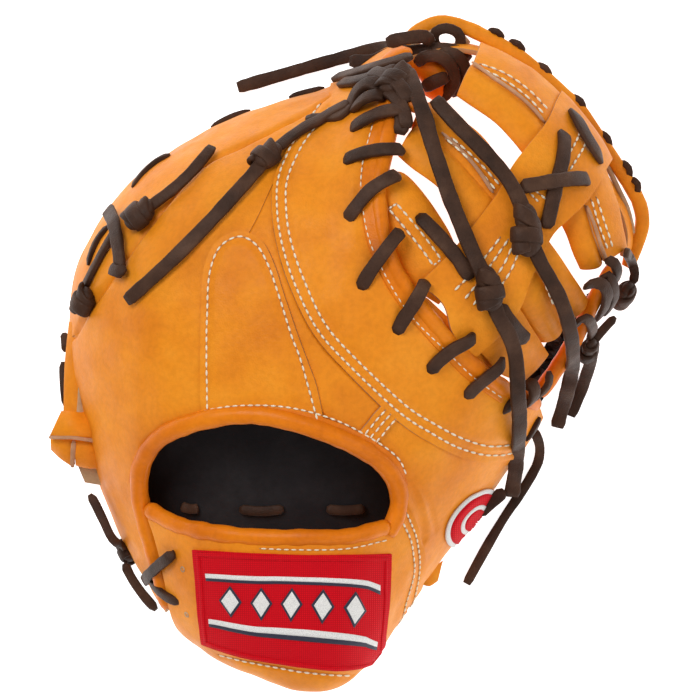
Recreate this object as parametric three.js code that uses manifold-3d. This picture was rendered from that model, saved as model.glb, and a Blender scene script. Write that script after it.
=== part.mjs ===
// A first baseman's mitt for the left hand, lying palm down: millimetres, +Z up, fingers towards +Y.
import * as THREE from 'three';
import { mergeVertices } from 'three/addons/utils/BufferGeometryUtils.js';
import Module from 'manifold-3d';

const wasm = await Module();
wasm.setup();

// Driving dimensions
const mittWidth = 276;
const mittLength = 306;
const mittHeight = 104;
const pocketDepth = 56;
const leather = 2.6;
const paddedPalm = 6;
const liningThickness = 1.2;
const labelThickness = 1.4;
const bindingRadius = 3.3;
const webRollRadius = 3;
const laceRadius = 2.8;
const tailRadius = 2.2;
const webDrop = 3.2;
const overlayRise = 0.8;
const pinkyStrapWidth = 20;
const knotHeight = 7;
const clearance = 0.3;
const facetTolerance = 0.1;

// How the back falls from crown to rim
const crown = { across: -0.025, along: 0.022 };
const roundness = 2.4;
const ringCount = 8;
const spokeCount = 40;
const palmRingCount = 6;
const palmSpokeCount = 30;

// A table's rows take their column names here; lengths are shares of the sizes above
function rows(columns, table) {
  return table.map((values) => Object.fromEntries(columns.map((name, i) => [name, values[i]])));
}

// The rim every 15 degrees from the thumb side, anticlockwise: reach is a share of the mitt's plan,
// lift a share of its height
const rim = rows(['reach', 'lift', 'palm'], [
  [0.428, 0.04, 0.385],
  [0.533, 0.16, 0.48],
  [0.534, 0.2, 0.48],
  [0.527, 0.2, 0.48],
  [0.518, 0.18, 0.47],
  [0.459, 0.1, 0.42],
  [0.379, 0.02, 0.347],
  [0.365, 0, 0.333],
  [0.371, 0, 0.339],
  [0.391, 0, 0.359],
  [0.417, 0, 0.385],
  [0.442, 0, 0.41],
  [0.446, 0, 0.414],
  [0.445, 0, 0.413],
  [0.453, 0, 0.415],
  [0.474, 0.06, 0.42],
  [0.51, 0.3, 0.44],
  [0.519, 0.56, 0.45],
  [0.52, 0.6, 0.44],
  [0.431, 0.2, 0.39],
  [0.375, 0.02, 0.338],
  [0.353, 0, 0.318],
  [0.355, 0, 0.32],
  [0.374, 0, 0.34],
]);

// Value of a rim column at any angle, on a smooth closed curve through the rows
function rimAt(column, angle) {
  const turns = (angle / (2 * Math.PI)) * rim.length;
  const first = Math.floor(turns);
  const f = turns - first;
  const [a, b, c, d] = [-1, 0, 1, 2].map((k) => rim.at((first + k) % rim.length)[column]);
  return b + 0.5 * f * (c - a + f * (2 * a - 5 * b + 4 * c - d + f * (3 * (b - c) + d - a)));
}

// A point of the back (kind 'reach') or of the pocket (kind 'palm'): fall is 0 at the crown, 90 degrees
// at the rim
function bowlPoint(kind, angle, fall) {
  const out = rimAt(kind, angle) * Math.sin(fall) ** (2 / roundness);
  const lift = kind === 'reach' ? Math.max(rimAt('lift', angle), 0) * mittHeight : 0;
  const top = kind === 'reach' ? mittHeight : pocketDepth;
  return new THREE.Vector3(
    (crown.across + out * Math.cos(angle)) * mittWidth,
    (crown.along + out * Math.sin(angle)) * mittLength,
    lift + (top - lift) * Math.cos(fall),
  );
}

// The same point moved inwards by a depth, square to the surface
function bowl(kind, angle, fall, depth) {
  const step = 0.01;
  const held = Math.max(fall, 0.05);
  const down = bowlPoint(kind, angle, held + step).sub(bowlPoint(kind, angle, held - step));
  const round = bowlPoint(kind, angle + step, held).sub(bowlPoint(kind, angle - step, held));
  const outward = down.cross(round).normalize();
  if (fall < 0.01) outward.set(0, 0, 1);
  if (fall > Math.PI / 2 - 0.01) outward.setZ(0).normalize();
  return bowlPoint(kind, angle, fall).addScaledVector(outward, -depth);
}

// Where a plan position lies on the back: its angle and fall
function onBack(across, along) {
  const dx = across - crown.across;
  const dy = along - crown.along;
  const angle = (Math.atan2(dy, dx) + 2 * Math.PI) % (2 * Math.PI);
  const share = Math.min(Math.hypot(dx, dy) / rimAt('reach', angle), 0.998);
  return { angle, fall: Math.asin(share ** (roundness / 2)) };
}

// A table row as a point on the back, or above it by over millimetres; height is absolute
function seat({ across, along, over = 0, height }) {
  if (height !== undefined) return new THREE.Vector3(across * mittWidth, along * mittLength, height);
  const { angle, fall } = onBack(across, along);
  return bowl('reach', angle, fall, -over);
}

// Solids
function toSolid(geometry) {
  const bare = geometry.clone();
  bare.deleteAttribute('normal');
  bare.deleteAttribute('uv');
  const merged = mergeVertices(bare, 1e-4);
  const triVerts = [];
  for (let i = 0; i < merged.index.count; i += 3) {
    const [a, b, c] = [0, 1, 2].map((k) => merged.index.getX(i + k));
    if (a !== b && b !== c && c !== a) triVerts.push(a, b, c);
  }
  const data = { numProp: 3, vertProperties: new Float32Array(merged.attributes.position.array) };
  const solid = new wasm.Manifold(new wasm.Mesh({ ...data, triVerts: new Uint32Array(triVerts) }));
  if (solid.volume() > 0) return solid;
  return new wasm.Manifold(new wasm.Mesh({ ...data, triVerts: new Uint32Array(triVerts.reverse()) }));
}

function toGeometry(solid) {
  const { numProp, vertProperties, triVerts } = solid.getMesh();
  const positions = [];
  for (let i = 0; i < vertProperties.length; i += numProp) {
    positions.push(vertProperties[i], vertProperties[i + 1], vertProperties[i + 2]);
  }
  const geometry = new THREE.BufferGeometry();
  geometry.setAttribute('position', new THREE.Float32BufferAttribute(positions, 3));
  geometry.setIndex(Array.from(triVerts));
  geometry.computeVertexNormals();
  return geometry;
}

// A closed grid of points: rings of equal length, capped at both ends
function gridSolid(rings) {
  const positions = rings.flat().flatMap((p) => [p.x, p.y, p.z]);
  const across = rings[0].length;
  const index = [];
  for (let i = 0; i < rings.length - 1; i += 1) {
    for (let j = 0; j < across; j += 1) {
      const a = i * across + j;
      const b = i * across + ((j + 1) % across);
      const c = (i + 1) * across + j;
      const d = (i + 1) * across + ((j + 1) % across);
      index.push(a, b, d, a, d, c);
    }
  }
  for (let j = 1; j < across - 1; j += 1) {
    const end = (rings.length - 1) * across;
    index.push(0, j + 1, j, end, end + j, end + j + 1);
  }
  const geometry = new THREE.BufferGeometry();
  geometry.setAttribute('position', new THREE.Float32BufferAttribute(positions, 3));
  geometry.setIndex(index);
  return toSolid(geometry);
}

// A bowl-shaped layer between two depths, open at its rim
function bowlLayer(kind, outer, inner) {
  const spokes = kind === 'palm' ? palmSpokeCount : spokeCount;
  const falling = kind === 'palm' ? palmRingCount : ringCount;
  const rings = [];
  for (let spoke = 0; spoke < spokes; spoke += 1) {
    const angle = (spoke / spokes) * 2 * Math.PI;
    const falls = Array.from({ length: falling + 1 }, (_, k) => (k / falling) * (Math.PI / 2));
    const upper = falls.map((fall) => bowl(kind, angle, fall, outer));
    const lower = falls.map((fall) => bowl(kind, angle, fall, inner)).reverse();
    rings.push([...upper, ...lower]);
  }
  const positions = rings.flat().flatMap((p) => [p.x, p.y, p.z]);
  const count = rings[0].length;
  const index = [];
  for (let i = 0; i < spokes; i += 1) {
    for (let j = 0; j < count - 1; j += 1) {
      const a = i * count + j;
      const b = ((i + 1) % spokes) * count + j;
      index.push(a, a + 1, b + 1, a, b + 1, b);
    }
  }
  const geometry = new THREE.BufferGeometry();
  geometry.setAttribute('position', new THREE.Float32BufferAttribute(positions, 3));
  geometry.setIndex(index);
  return toSolid(geometry);
}

// Everything inside the back or the palm at a depth, and below it
function bowlBlock(kind, outer) {
  const spokes = kind === 'palm' ? palmSpokeCount : spokeCount;
  const falling = kind === 'palm' ? palmRingCount : ringCount;
  const rings = [];
  for (let k = falling; k >= 1; k -= 1) {
    const fall = (k / falling) * (Math.PI / 2);
    rings.push(
      Array.from({ length: spokes }, (_, spoke) =>
        bowl(kind, (spoke / spokes) * 2 * Math.PI, fall, outer),
      ),
    );
  }
  const foot = rings[0].map((p) => new THREE.Vector3(p.x, p.y, -mittHeight));
  return gridSolid([foot, ...rings]);
}

// Plan outlines, in millimetres
function smooth(table, { closed = false, count = 3 } = {}) {
  const points = table.map((p) => new THREE.Vector3(p.across * mittWidth, p.along * mittLength, 0));
  const curve = new THREE.CatmullRomCurve3(points, closed, 'centripetal');
  const steps = count * (closed ? points.length : points.length - 1);
  const sampled = curve.getPoints(steps).map((p) => new THREE.Vector2(p.x, p.y));
  return closed ? sampled.slice(0, -1) : sampled;
}

function corners(table) {
  return table.map((p) => new THREE.Vector2(p.across * mittWidth, p.along * mittLength));
}

// An outline grown outwards, or shrunk by a negative distance
function grown(outline, distance) {
  const turn = Math.sign(THREE.ShapeUtils.area(outline));
  return outline.map((point, i) => {
    const before = outline.at(i - 1);
    const after = outline[(i + 1) % outline.length];
    const along = after.clone().sub(before).normalize();
    return new THREE.Vector2(point.x + along.y * distance * turn, point.y - along.x * distance * turn);
  });
}

function prism(outline) {
  const block = new THREE.ExtrudeGeometry(new THREE.Shape(outline), {
    depth: 3 * mittHeight,
    bevelEnabled: false,
  });
  block.translate(0, 0, -mittHeight);
  return toSolid(block);
}

// A strip of plan on both sides of an open line
function band(line, halfWidth) {
  const sides = [1, -1].map((side) =>
    line.map((point, i) => {
      const before = line[Math.max(i - 1, 0)];
      const after = line[Math.min(i + 1, line.length - 1)];
      const along = after.clone().sub(before).normalize();
      return new THREE.Vector2(
        point.x + side * along.y * halfWidth,
        point.y - side * along.x * halfWidth,
      );
    }),
  );
  return prism([...sides[0], ...sides[1].reverse()]);
}

// A round tube along points of the back, with a step for every half row
const tubeSides = 8;
function tube(table, radius) {
  const path = new THREE.CatmullRomCurve3(table.map(seat), false, 'centripetal');
  const section = new THREE.Shape();
  section.absarc(0, 0, radius, 0, 2 * Math.PI, false);
  const steps = 2 * (table.length - 1);
  const options = { steps, extrudePath: path, curveSegments: tubeSides / 2, bevelEnabled: false };
  return toSolid(new THREE.ExtrudeGeometry(section, options));
}

// The same rows let into the edge of the leather
function lowered(table) {
  return table.map((row) => ({ ...row, over: -leather / 2 }));
}

// A knot: a lump seated on the back, along the lace's direction
function lump(row, length, width, height) {
  const ball = new THREE.SphereGeometry(0.5, 8, 5);
  const { angle, fall } = onBack(row.across, row.along);
  const outward = bowl('reach', angle, fall, -1).sub(bowl('reach', angle, fall, 0)).normalize();
  const heading = new THREE.Vector3(Math.cos(row.turn), Math.sin(row.turn), 0);
  const side = outward.clone().cross(heading).normalize();
  const ahead = side.clone().cross(outward);
  ball.scale(length, width, height);
  ball.applyMatrix4(new THREE.Matrix4().makeBasis(ahead, side, outward).setPosition(seat(row)));
  return toSolid(ball);
}

const colours = {
  tan: { color: 0xdf8b32, roughness: 0.55, metalness: 0 },
  binding: { color: 0xd97a1c, roughness: 0.4, metalness: 0 },
  lace: { color: 0x33261f, roughness: 0.7, metalness: 0 },
  lining: { color: 0x1c1a1c, roughness: 0.8, metalness: 0 },
  suede: { color: 0xb98a5c, roughness: 0.9, metalness: 0 },
  label: { color: 0xb81d24, roughness: 0.75, metalness: 0 },
};

const mitt = new THREE.Group();
function piece(name, cut, colour) {
  // Cuts can leave slivers beside the piece itself
  const solid = cut.decompose().sort((a, b) => b.volume() - a.volume())[0].simplify(facetTolerance);
  const mesh = new THREE.Mesh(toGeometry(solid), new THREE.MeshStandardMaterial(colours[colour]));
  mesh.name = name;
  mitt.add(mesh);
  return solid;
}

// Lines of the pattern
const grooveLine = smooth(rows(['across', 'along'], [
  [-0.033, 0.374], [-0.087, 0.345], [-0.171, 0.307], [-0.231, 0.282], [-0.275, 0.247], [-0.319, 0.199],
  [-0.362, 0.149], [-0.420, 0.074], [-0.458, 0.022],
]));
const uEdge = rows(['across', 'along'], [
  [0.079, 0.392], [0.068, 0.342], [0.058, 0.297], [0.048, 0.253], [0.046, 0.215], [0.054, 0.163],
  [0.074, 0.116], [0.100, 0.079], [0.132, 0.045], [0.168, 0.006], [0.211, -0.030], [0.255, -0.058],
  [0.308, -0.082],
]);
const thumbEdge = rows(['across', 'along'], [
  [0.315, -0.067], [0.339, -0.036], [0.362, -0.003], [0.380, 0.027], [0.399, 0.062], [0.418, 0.095],
  [0.440, 0.125],
]);
const seamLine = smooth(rows(['across', 'along'], [
  [-0.033, 0.431], [-0.056, 0.364], [-0.102, 0.302], [-0.125, 0.254], [-0.127, 0.205], [-0.119, 0.153],
  [-0.097, 0.092], [-0.059, 0.024], [-0.005, -0.033], [0.077, -0.104], [0.145, -0.143],
  [0.206, -0.165], [0.273, -0.160], [0.346, -0.134],
]));
const bindingLine = rows(['across', 'along'], [
  [0.063, -0.273], [0.079, -0.241], [0.081, -0.208], [0.063, -0.175], [0.026, -0.149],
  [-0.025, -0.126], [-0.082, -0.108], [-0.145, -0.097], [-0.206, -0.098], [-0.264, -0.110],
  [-0.313, -0.131], [-0.343, -0.166], [-0.349, -0.208], [-0.341, -0.253], [-0.326, -0.300],
  [-0.313, -0.345], [-0.303, -0.380],
]);
const strapTopLine = rows(['across', 'along'], [
  [-0.326, -0.242], [-0.282, -0.260], [-0.209, -0.272], [-0.135, -0.276], [-0.063, -0.276],
  [0.000, -0.275], [0.046, -0.266],
]);
const strapEnd = smooth(rows(['across', 'along'], [
  [0.076, -0.223], [0.089, -0.253], [0.105, -0.290], [0.107, -0.334], [0.092, -0.374], [0.076, -0.431],
  [0.066, -0.505],
]));
const tongueOutline = smooth(rows(['across', 'along'], [
  [-0.237, -0.137], [-0.239, 0.000], [-0.237, 0.079], [-0.232, 0.122], [-0.214, 0.154],
  [-0.180, 0.171], [-0.148, 0.159], [-0.128, 0.125], [-0.112, 0.079], [-0.091, 0.022],
  [-0.074, -0.018], [-0.059, -0.053], [-0.043, -0.143],
]));
const bridgeLine = smooth(rows(['across', 'along'], [
  [0.082, -0.077], [0.056, -0.110], [0.026, -0.152],
]));

// Fields of plan that the lines bound; far points lie outside the mitt
const far = 0.9;
const webField = [
  ...smooth(uEdge),
  ...smooth(thumbEdge),
  ...corners(rows(['across', 'along'], [[0.56, 0.13], [far, 0.3], [far, far], [0.2, far], [0.082, 0.5]])),
];
const backField = [
  ...grooveLine,
  ...corners(rows(['across', 'along'], [[-far, 0.02], [-far, -far], [far, -far], [far, far], [-0.02, far]])),
];
const webSideField = [
  ...seamLine,
  ...corners(rows(['across', 'along'], [[far, -0.1], [far, far], [-0.033, far]])),
];
const openingField = [...smooth(bindingLine).slice(0, 40), ...smooth(strapTopLine)];
const strapField = [
  ...smooth(strapTopLine),
  ...strapEnd,
  ...corners(rows(['across', 'along'], [[0.06, -far], [-0.32, -far], [-0.285, -0.39]])),
  ...smooth(bindingLine).slice(-9).reverse(),
];
const thumbField = [
  ...bridgeLine,
  ...corners(rows(['across', 'along'], [[0.02, -0.22]])),
  ...strapEnd,
  ...corners(rows(['across', 'along'], [[0.2, -far], [far, -far], [far, 0.6], [0.3, 0.2]])),
];

const labelOutline = rows(['across', 'along'], [
  [-0.254, -0.294], [-0.096, -0.300], [0.064, -0.300], [0.059, -0.371], [0.046, -0.449],
  [-0.008, -0.460], [-0.099, -0.453], [-0.240, -0.434], [-0.247, -0.364],
]);
const patchOutline = rows(['across', 'along'], [
  [0.148, -0.272], [0.168, -0.235], [0.204, -0.211], [0.237, -0.206], [0.231, -0.241], [0.198, -0.276],
  [0.161, -0.290],
]);
const pinkyStrapOutline = rows(['across', 'along'], [
  [-0.511, 0.042], [-0.441, 0.042], [-0.438, -0.088], [-0.511, -0.088],
]);
const pinkyKnotOutline = rows(['across', 'along'], [
  [-0.478, -0.092], [-0.428, -0.092], [-0.392, -0.138], [-0.392, -0.178], [-0.413, -0.178],
  [-0.463, -0.175], [-0.496, -0.150], [-0.497, -0.129],
]);
const liningOutline = rows(['across', 'along'], [
  [-0.403, -0.178], [-0.329, -0.074], [-0.148, -0.030], [0.066, -0.074], [0.148, -0.193],
  [0.115, -0.312], [0.000, -0.401], [-0.214, -0.408], [-0.346, -0.327],
]);

// The web's outlines
const webRim = rows(['across', 'along', 'rise'], [
  [0.086, 0.446, 0.163], [0.115, 0.475, 0.173], [0.150, 0.489, 0.183], [0.189, 0.481, 0.192],
  [0.231, 0.463, 0.202], [0.273, 0.441, 0.202], [0.313, 0.411, 0.202], [0.349, 0.383, 0.202],
  [0.380, 0.357, 0.202], [0.407, 0.324, 0.202], [0.428, 0.294, 0.202], [0.456, 0.255, 0.192],
  [0.479, 0.218, 0.173], [0.483, 0.186, 0.154], [0.471, 0.154, 0.144],
]).map((row) => ({ ...row, height: row.rise * mittHeight }));
const webBandOutline = rows(['across', 'along'], [
  [0.051, 0.275], [0.089, 0.273], [0.132, 0.229], [0.173, 0.181], [0.168, 0.156], [0.148, 0.131],
  [0.112, 0.098], [0.082, 0.116], [0.056, 0.186],
]);
const upperBarOutline = rows(['across', 'along'], [
  [0.176, 0.395], [0.221, 0.370], [0.260, 0.342], [0.290, 0.305], [0.321, 0.312], [0.371, 0.349],
  [0.362, 0.386], [0.280, 0.453], [0.217, 0.487], [0.184, 0.446],
]);
const upperBarOuterOutline = rows(['across', 'along'], [
  [0.362, 0.195], [0.395, 0.238], [0.436, 0.267], [0.464, 0.223], [0.474, 0.171], [0.455, 0.140],
  [0.425, 0.110], [0.405, 0.104], [0.384, 0.149],
]);
const lowerBarOutline = rows(['across', 'along'], [
  [0.079, 0.330], [0.109, 0.371], [0.145, 0.374], [0.191, 0.351], [0.236, 0.315], [0.267, 0.273],
  [0.247, 0.223], [0.217, 0.190], [0.184, 0.163], [0.160, 0.196], [0.112, 0.241], [0.066, 0.275],
]);
const lowerBarOuterOutline = rows(['across', 'along'], [
  [0.313, 0.149], [0.339, 0.156], [0.362, 0.122], [0.395, 0.097], [0.405, 0.059], [0.382, 0.022],
  [0.349, 0.007], [0.321, 0.022], [0.293, 0.067],
]);
const baseFlapOutline = rows(['across', 'along'], [
  [0.244, 0.048], [0.273, 0.061], [0.300, 0.033], [0.334, -0.010], [0.326, -0.033], [0.292, -0.052],
  [0.247, -0.036], [0.217, -0.003], [0.227, 0.027],
]);
const postOutline = rows(['across', 'along'], [
  [0.110, 0.097], [0.158, 0.138], [0.203, 0.186], [0.239, 0.229], [0.265, 0.272], [0.293, 0.305],
  [0.323, 0.339], [0.349, 0.401], [0.412, 0.371], [0.461, 0.305], [0.423, 0.261], [0.390, 0.221],
  [0.361, 0.195], [0.331, 0.168], [0.300, 0.111], [0.275, 0.056], [0.240, 0.021], [0.203, -0.013],
  [0.155, 0.042],
]);

// Knots: turn is the lace's heading in radians, length and width are shares of the mitt's length
const knots = rows(['name', 'across', 'along', 'turn', 'length', 'width'], [
  ['rim_knot_a', -0.349, 0.196, 0.8, 0.05, 0.036],
  ['rim_knot_b', -0.438, 0.074, 1.2, 0.042, 0.03],
  ['rim_knot_c', -0.135, 0.287, 0.75, 0.045, 0.036],
  ['web_knot_left', 0.227, 0.086, 1.6, 0.06, 0.034],
  ['web_knot_right', 0.290, 0.178, 1.5, 0.074, 0.036],
  ['thumb_knot_upper', 0.448, 0.086, 1.2, 0.04, 0.03],
  ['thumb_knot_lower', 0.395, 0.003, 1.5, 0.04, 0.03],
  ['heel_knot', -0.379, -0.307, 2, 0.032, 0.03],
  ['web_top_knot', 0.076, 0.404, 0.9, 0.07, 0.04],
]);

// Laces over the binding at the web, from the panel's side to the web's side
const edgeLaces = rows(['across', 'along', 'toAcross', 'toAlong'], [
  [0.007, 0.330, 0.081, 0.355],
  [0.000, 0.281, 0.072, 0.296],
  [0.000, 0.195, 0.068, 0.253],
  [0.021, 0.095, 0.076, 0.169],
  [0.079, 0.030, 0.117, 0.095],
  [0.133, -0.030, 0.193, 0.021],
  [0.193, -0.068, 0.244, -0.024],
]);
const crossLaces = rows(['across', 'along', 'toAcross', 'toAlong', 'over'], [
  [0.352, 0.315, 0.323, 0.186, 0],
  [0.285, 0.242, 0.385, 0.251, 1],
]);

// Free lace ends, chosen by hand: over is above the back and height above the floor, in lace radii
const route = ['across', 'along', 'over', 'height'];
const laceEnds = {
  long_lace_left_upper: rows(route, [
    [0.096, 0.413, 2.5], [0.109, 0.379, 2.73], [0.122, 0.342, 2.73], [0.133, 0.305, 2.73],
    [0.147, 0.267, 2.5], [0.161, 0.227, 2.27], [0.178, 0.190, 2.27], [0.194, 0.154, 2.27],
    [0.211, 0.122, 2.73], [0.227, 0.089, 2.73],
  ]),
  long_lace_left_lower: rows(route, [
    [0.227, 0.083, 2.73], [0.242, 0.049, 2.95], [0.260, 0.021, 3.18], [0.270, -0.007, 3.41],
    [0.273, -0.037, 4.09], [0.275, -0.067, 4.32], [0.278, -0.098, 3.64], [0.278, -0.129, 2.73],
    [0.277, -0.156, 0, 12.27], [0.275, -0.181, 0, 8.18], [0.272, -0.202, 0, 5], [0.270, -0.220, 0, 3.86],
  ]),
  long_lace_right_upper: rows(route, [
    [0.138, 0.370, 2.27], [0.160, 0.348, 2.27], [0.183, 0.325, 2.27], [0.208, 0.303, 2.5],
    [0.232, 0.279, 2.73], [0.255, 0.254, 2.73], [0.273, 0.226, 2.73], [0.288, 0.190, 2.73],
  ]),
  long_lace_right_lower: rows(route, [
    [0.292, 0.169, 2.73], [0.310, 0.131, 2.73], [0.328, 0.102, 2.73], [0.343, 0.077, 3.18],
    [0.354, 0.051, 3.86], [0.362, 0.022, 4.32], [0.367, -0.006, 3.64], [0.367, -0.033, 0, 14.09],
    [0.362, -0.056, 0, 10], [0.357, -0.077, 0, 5.45], [0.351, -0.098, 0, 2.27],
    [0.346, -0.116, 0, 1.45],
  ]),
  top_tail: rows(route, [
    [0.077, 0.452, 0, 11.82], [0.059, 0.455, 0, 7.73], [0.036, 0.452, 0, 4.09], [0.010, 0.446, 0, 2.05],
    [-0.020, 0.438, 0, 1.45], [-0.056, 0.429, 0, 1.45], [-0.096, 0.419, 0, 1.45], [-0.142, 0.407, 0, 1.45],
    [-0.188, 0.395, 0, 1.45],
  ]),
  rim_tail_long: rows(route, [
    [-0.138, 0.282, 1.82], [-0.161, 0.257, 1.64], [-0.188, 0.230, 1.55], [-0.219, 0.199, 1.55],
    [-0.252, 0.168, 1.55], [-0.288, 0.135, 1.55], [-0.326, 0.104, 1.55], [-0.366, 0.073, 1.55],
  ]),
  rim_tail_short: rows(route, [
    [-0.343, 0.204, 1.64], [-0.316, 0.221, 1.55], [-0.290, 0.239, 1.55], [-0.264, 0.261, 1.55],
    [-0.244, 0.282, 1.55], [-0.227, 0.302, 1.55],
  ]),
  thumb_tail: rows(route, [
    [0.400, -0.003, 0, 15.45], [0.399, -0.021, 0, 10], [0.392, -0.042, 0, 5.45], [0.385, -0.061, 0, 2.5],
    [0.375, -0.082, 0, 1.36], [0.367, -0.100, 0, 1.27],
  ]),
  floor_tail: rows(route, [
    [0.308, -0.123, 0, 5.45], [0.316, -0.144, 0, 2.5], [0.315, -0.166, 0, 1.36], [0.303, -0.189, 0, 1.18],
    [0.285, -0.215, 0, 1.18], [0.260, -0.248, 0, 1.18], [0.237, -0.282, 0, 1.18], [0.216, -0.316, 0, 1.18],
    [0.194, -0.352, 0, 1.18],
  ]),
};

// Layers of the back and of the palm
const seam = clearance / 2;
const backLayer = bowlLayer('reach', 0, leather);
const raisedLayer = bowlLayer('reach', -overlayRise, leather);
const webLowLayer = bowlLayer('reach', webDrop, webDrop + leather);
const webHighLayer = bowlLayer('reach', webDrop - clearance - leather, webDrop - clearance);
const labelLayer = bowlLayer('reach', -clearance - labelThickness, -clearance)
  .subtract(bowlLayer('reach', -clearance, leather))
  .subtract(backLayer);
const palmLayer = bowlLayer('palm', -paddedPalm, 0);
const liningLayer = bowlLayer('palm', -paddedPalm - clearance - liningThickness, -paddedPalm - clearance);

const bindingRoom = bindingRadius + clearance;
const webRollRoom = webRollRadius + clearance;
function rollCut(table, room) {
  return band(smooth(table), room).add(tube(lowered(table), room));
}
const openingCut = prism(openingField)
  .add(rollCut(bindingLine, bindingRoom))
  .add(rollCut(strapTopLine, bindingRoom));
const webEdges = rollCut(uEdge, bindingRoom).add(rollCut(thumbEdge, webRollRoom));
const rimRoom = band(smooth(webRim), webRollRoom).add(tube(webRim, webRollRoom));
const webCut = prism(grown(webField, clearance)).add(webEdges).add(rimRoom);
const strapCut = prism(grown(strapField, seam));

// Back panels
piece('finger_rim', backLayer.subtract(prism(grown(backField, seam))).subtract(webCut), 'tan');
const fingerBack = backLayer.intersect(prism(grown(backField, -seam)));
piece(
  'finger_back_panel',
  fingerBack
    .subtract(prism(grown(webSideField, seam)))
    .subtract(prism(grown(tongueOutline, seam)))
    .subtract(prism(grown(thumbField, seam)))
    .subtract(openingCut)
    .subtract(strapCut),
  'tan',
);
piece(
  'center_tongue_panel',
  raisedLayer.intersect(prism(grown(tongueOutline, -seam))).subtract(openingCut),
  'tan',
);
piece(
  'web_side_panel',
  raisedLayer
    .intersect(prism(grown(webSideField, -seam)))
    .intersect(prism(grown(backField, -seam)))
    .subtract(webCut),
  'tan',
);
piece(
  'thumb_back_panel',
  backLayer
    .intersect(prism(grown(thumbField, -seam)))
    .subtract(prism(grown(webSideField, seam)))
    .subtract(openingCut)
    .subtract(strapCut)
    .subtract(webCut),
  'tan',
);

// Wrist strap with its label, and the round patch
piece('wrist_strap', backLayer.intersect(prism(grown(strapField, -seam))).subtract(openingCut), 'tan');
piece('strap_label', labelLayer.intersect(prism(smooth(labelOutline, { closed: true, count: 1 }))), 'label');
piece('round_patch', labelLayer.intersect(prism(smooth(patchOutline, { closed: true, count: 2 }))), 'label');

// Bindings
piece('opening_binding', tube(lowered(bindingLine), bindingRadius), 'binding');
const strapRoll = tube(lowered(strapTopLine), bindingRadius).subtract(
  rollCut(bindingLine, bindingRoom),
);
piece('strap_top_roll', strapRoll, 'binding');
piece('u_edge_binding', tube(lowered(uEdge), bindingRadius), 'binding');
const thumbRoll = tube(lowered(thumbEdge), webRollRadius).subtract(
  tube(lowered(uEdge), bindingRadius + clearance),
);
piece('thumb_edge_binding', thumbRoll, 'binding');

// Web: low bars, high post, and the rolled rim that carries them
let taken = webEdges.add(rimRoom);
function webPiece(name, outline) {
  const plan = smooth(outline, { closed: true, count: 1 });
  piece(name, webLowLayer.intersect(prism(plan)).subtract(taken), 'tan');
  taken = taken.add(prism(grown(plan, clearance)));
}
piece('web_rim', tube(webRim, webRollRadius).subtract(tube(lowered(thumbEdge), webRollRoom)), 'tan');
webPiece('web_bar_lower', lowerBarOutline);
webPiece('web_bar_lower_outer', lowerBarOuterOutline);
webPiece('web_bar_upper', upperBarOutline);
webPiece('web_bar_upper_outer', upperBarOuterOutline);
webPiece('web_band', webBandOutline);
webPiece('web_base_flap', baseFlapOutline);
const postField = prism(smooth(postOutline, { closed: true, count: 1 }));
piece('web_post', webHighLayer.intersect(postField).subtract(webEdges).subtract(rimRoom), 'tan');

// Palm with its window for the web, the dark lining, and the wall between palm and back at the web
const insideBack = bowlBlock('reach', leather + clearance);
const palmShell = palmLayer.intersect(insideBack).subtract(prism(webField)).subtract(rimRoom);
piece('palm_shell', palmShell, 'tan');
const liningField = prism(smooth(liningOutline, { closed: true }));
piece('palm_lining', liningLayer.intersect(insideBack).intersect(liningField), 'lining');
const wallLine = smooth(uEdge).slice(3, -3);
const wallRings = wallLine.map((point, i) => {
  const along = wallLine[Math.min(i + 1, wallLine.length - 1)].clone().sub(wallLine[Math.max(i - 1, 0)]);
  along.normalize();
  const spot = { across: point.x / mittWidth, along: point.y / mittLength };
  const top = seat(spot).z - leather - bindingRadius;
  return [
    [1, 0],
    [-1, 0],
    [-1, top],
    [1, top],
  ].map(([side, z]) => {
    const inset = bindingRadius / 2 + clearance;
    const offset = -inset + (side * leather) / 2;
    return new THREE.Vector3(point.x + along.y * offset * -1, point.y + along.x * offset, z);
  });
});
const palmBlock = bowlBlock('palm', -paddedPalm - 2 * clearance);
const throatWall = gridSolid(wallRings).subtract(palmBlock).intersect(insideBack);
piece('throat_wall', throatWall.subtract(tube(lowered(uEdge), bindingRoom)), 'tan');

// Little finger's strap and its suede knot
const strapSlab = new THREE.BoxGeometry(2 * mittWidth, 2 * mittLength, pinkyStrapWidth);
strapSlab.translate(0, 0, pinkyStrapWidth);
const proudLayer = bowlLayer('reach', -clearance - leather, -clearance);
piece(
  'pinky_strap',
  proudLayer.intersect(prism(corners(pinkyStrapOutline))).intersect(toSolid(strapSlab)),
  'tan',
);
const backBlock = bowlBlock('reach', -clearance);
const raisedFields = prism(grown(webSideField, clearance)).add(prism(grown(tongueOutline, clearance)));
const raisedBlock = bowlLayer('reach', -overlayRise - clearance, leather)
  .add(raisedLayer)
  .intersect(raisedFields)
  .subtract(prism(webField))
  .add(backBlock);
const knotSlab = new THREE.ExtrudeGeometry(new THREE.Shape(corners(pinkyKnotOutline)), {
  depth: pinkyStrapWidth,
  bevelEnabled: false,
});
knotSlab.translate(0, 0, pinkyStrapWidth / 2);
piece('pinky_strap_knot', toSolid(knotSlab).subtract(backBlock), 'suede');

// Knots of the lacing, each a lump along the lace
const rollRoom = tube(lowered(uEdge), bindingRoom)
  .add(tube(webRim, webRollRoom))
  .add(tube(lowered(thumbEdge), webRollRoom));
for (const knot of knots) {
  const body = lump(knot, knot.length * mittLength, knot.width * mittLength, knotHeight);
  piece(knot.name, body.subtract(raisedBlock).subtract(rollRoom), 'lace');
}

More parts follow.
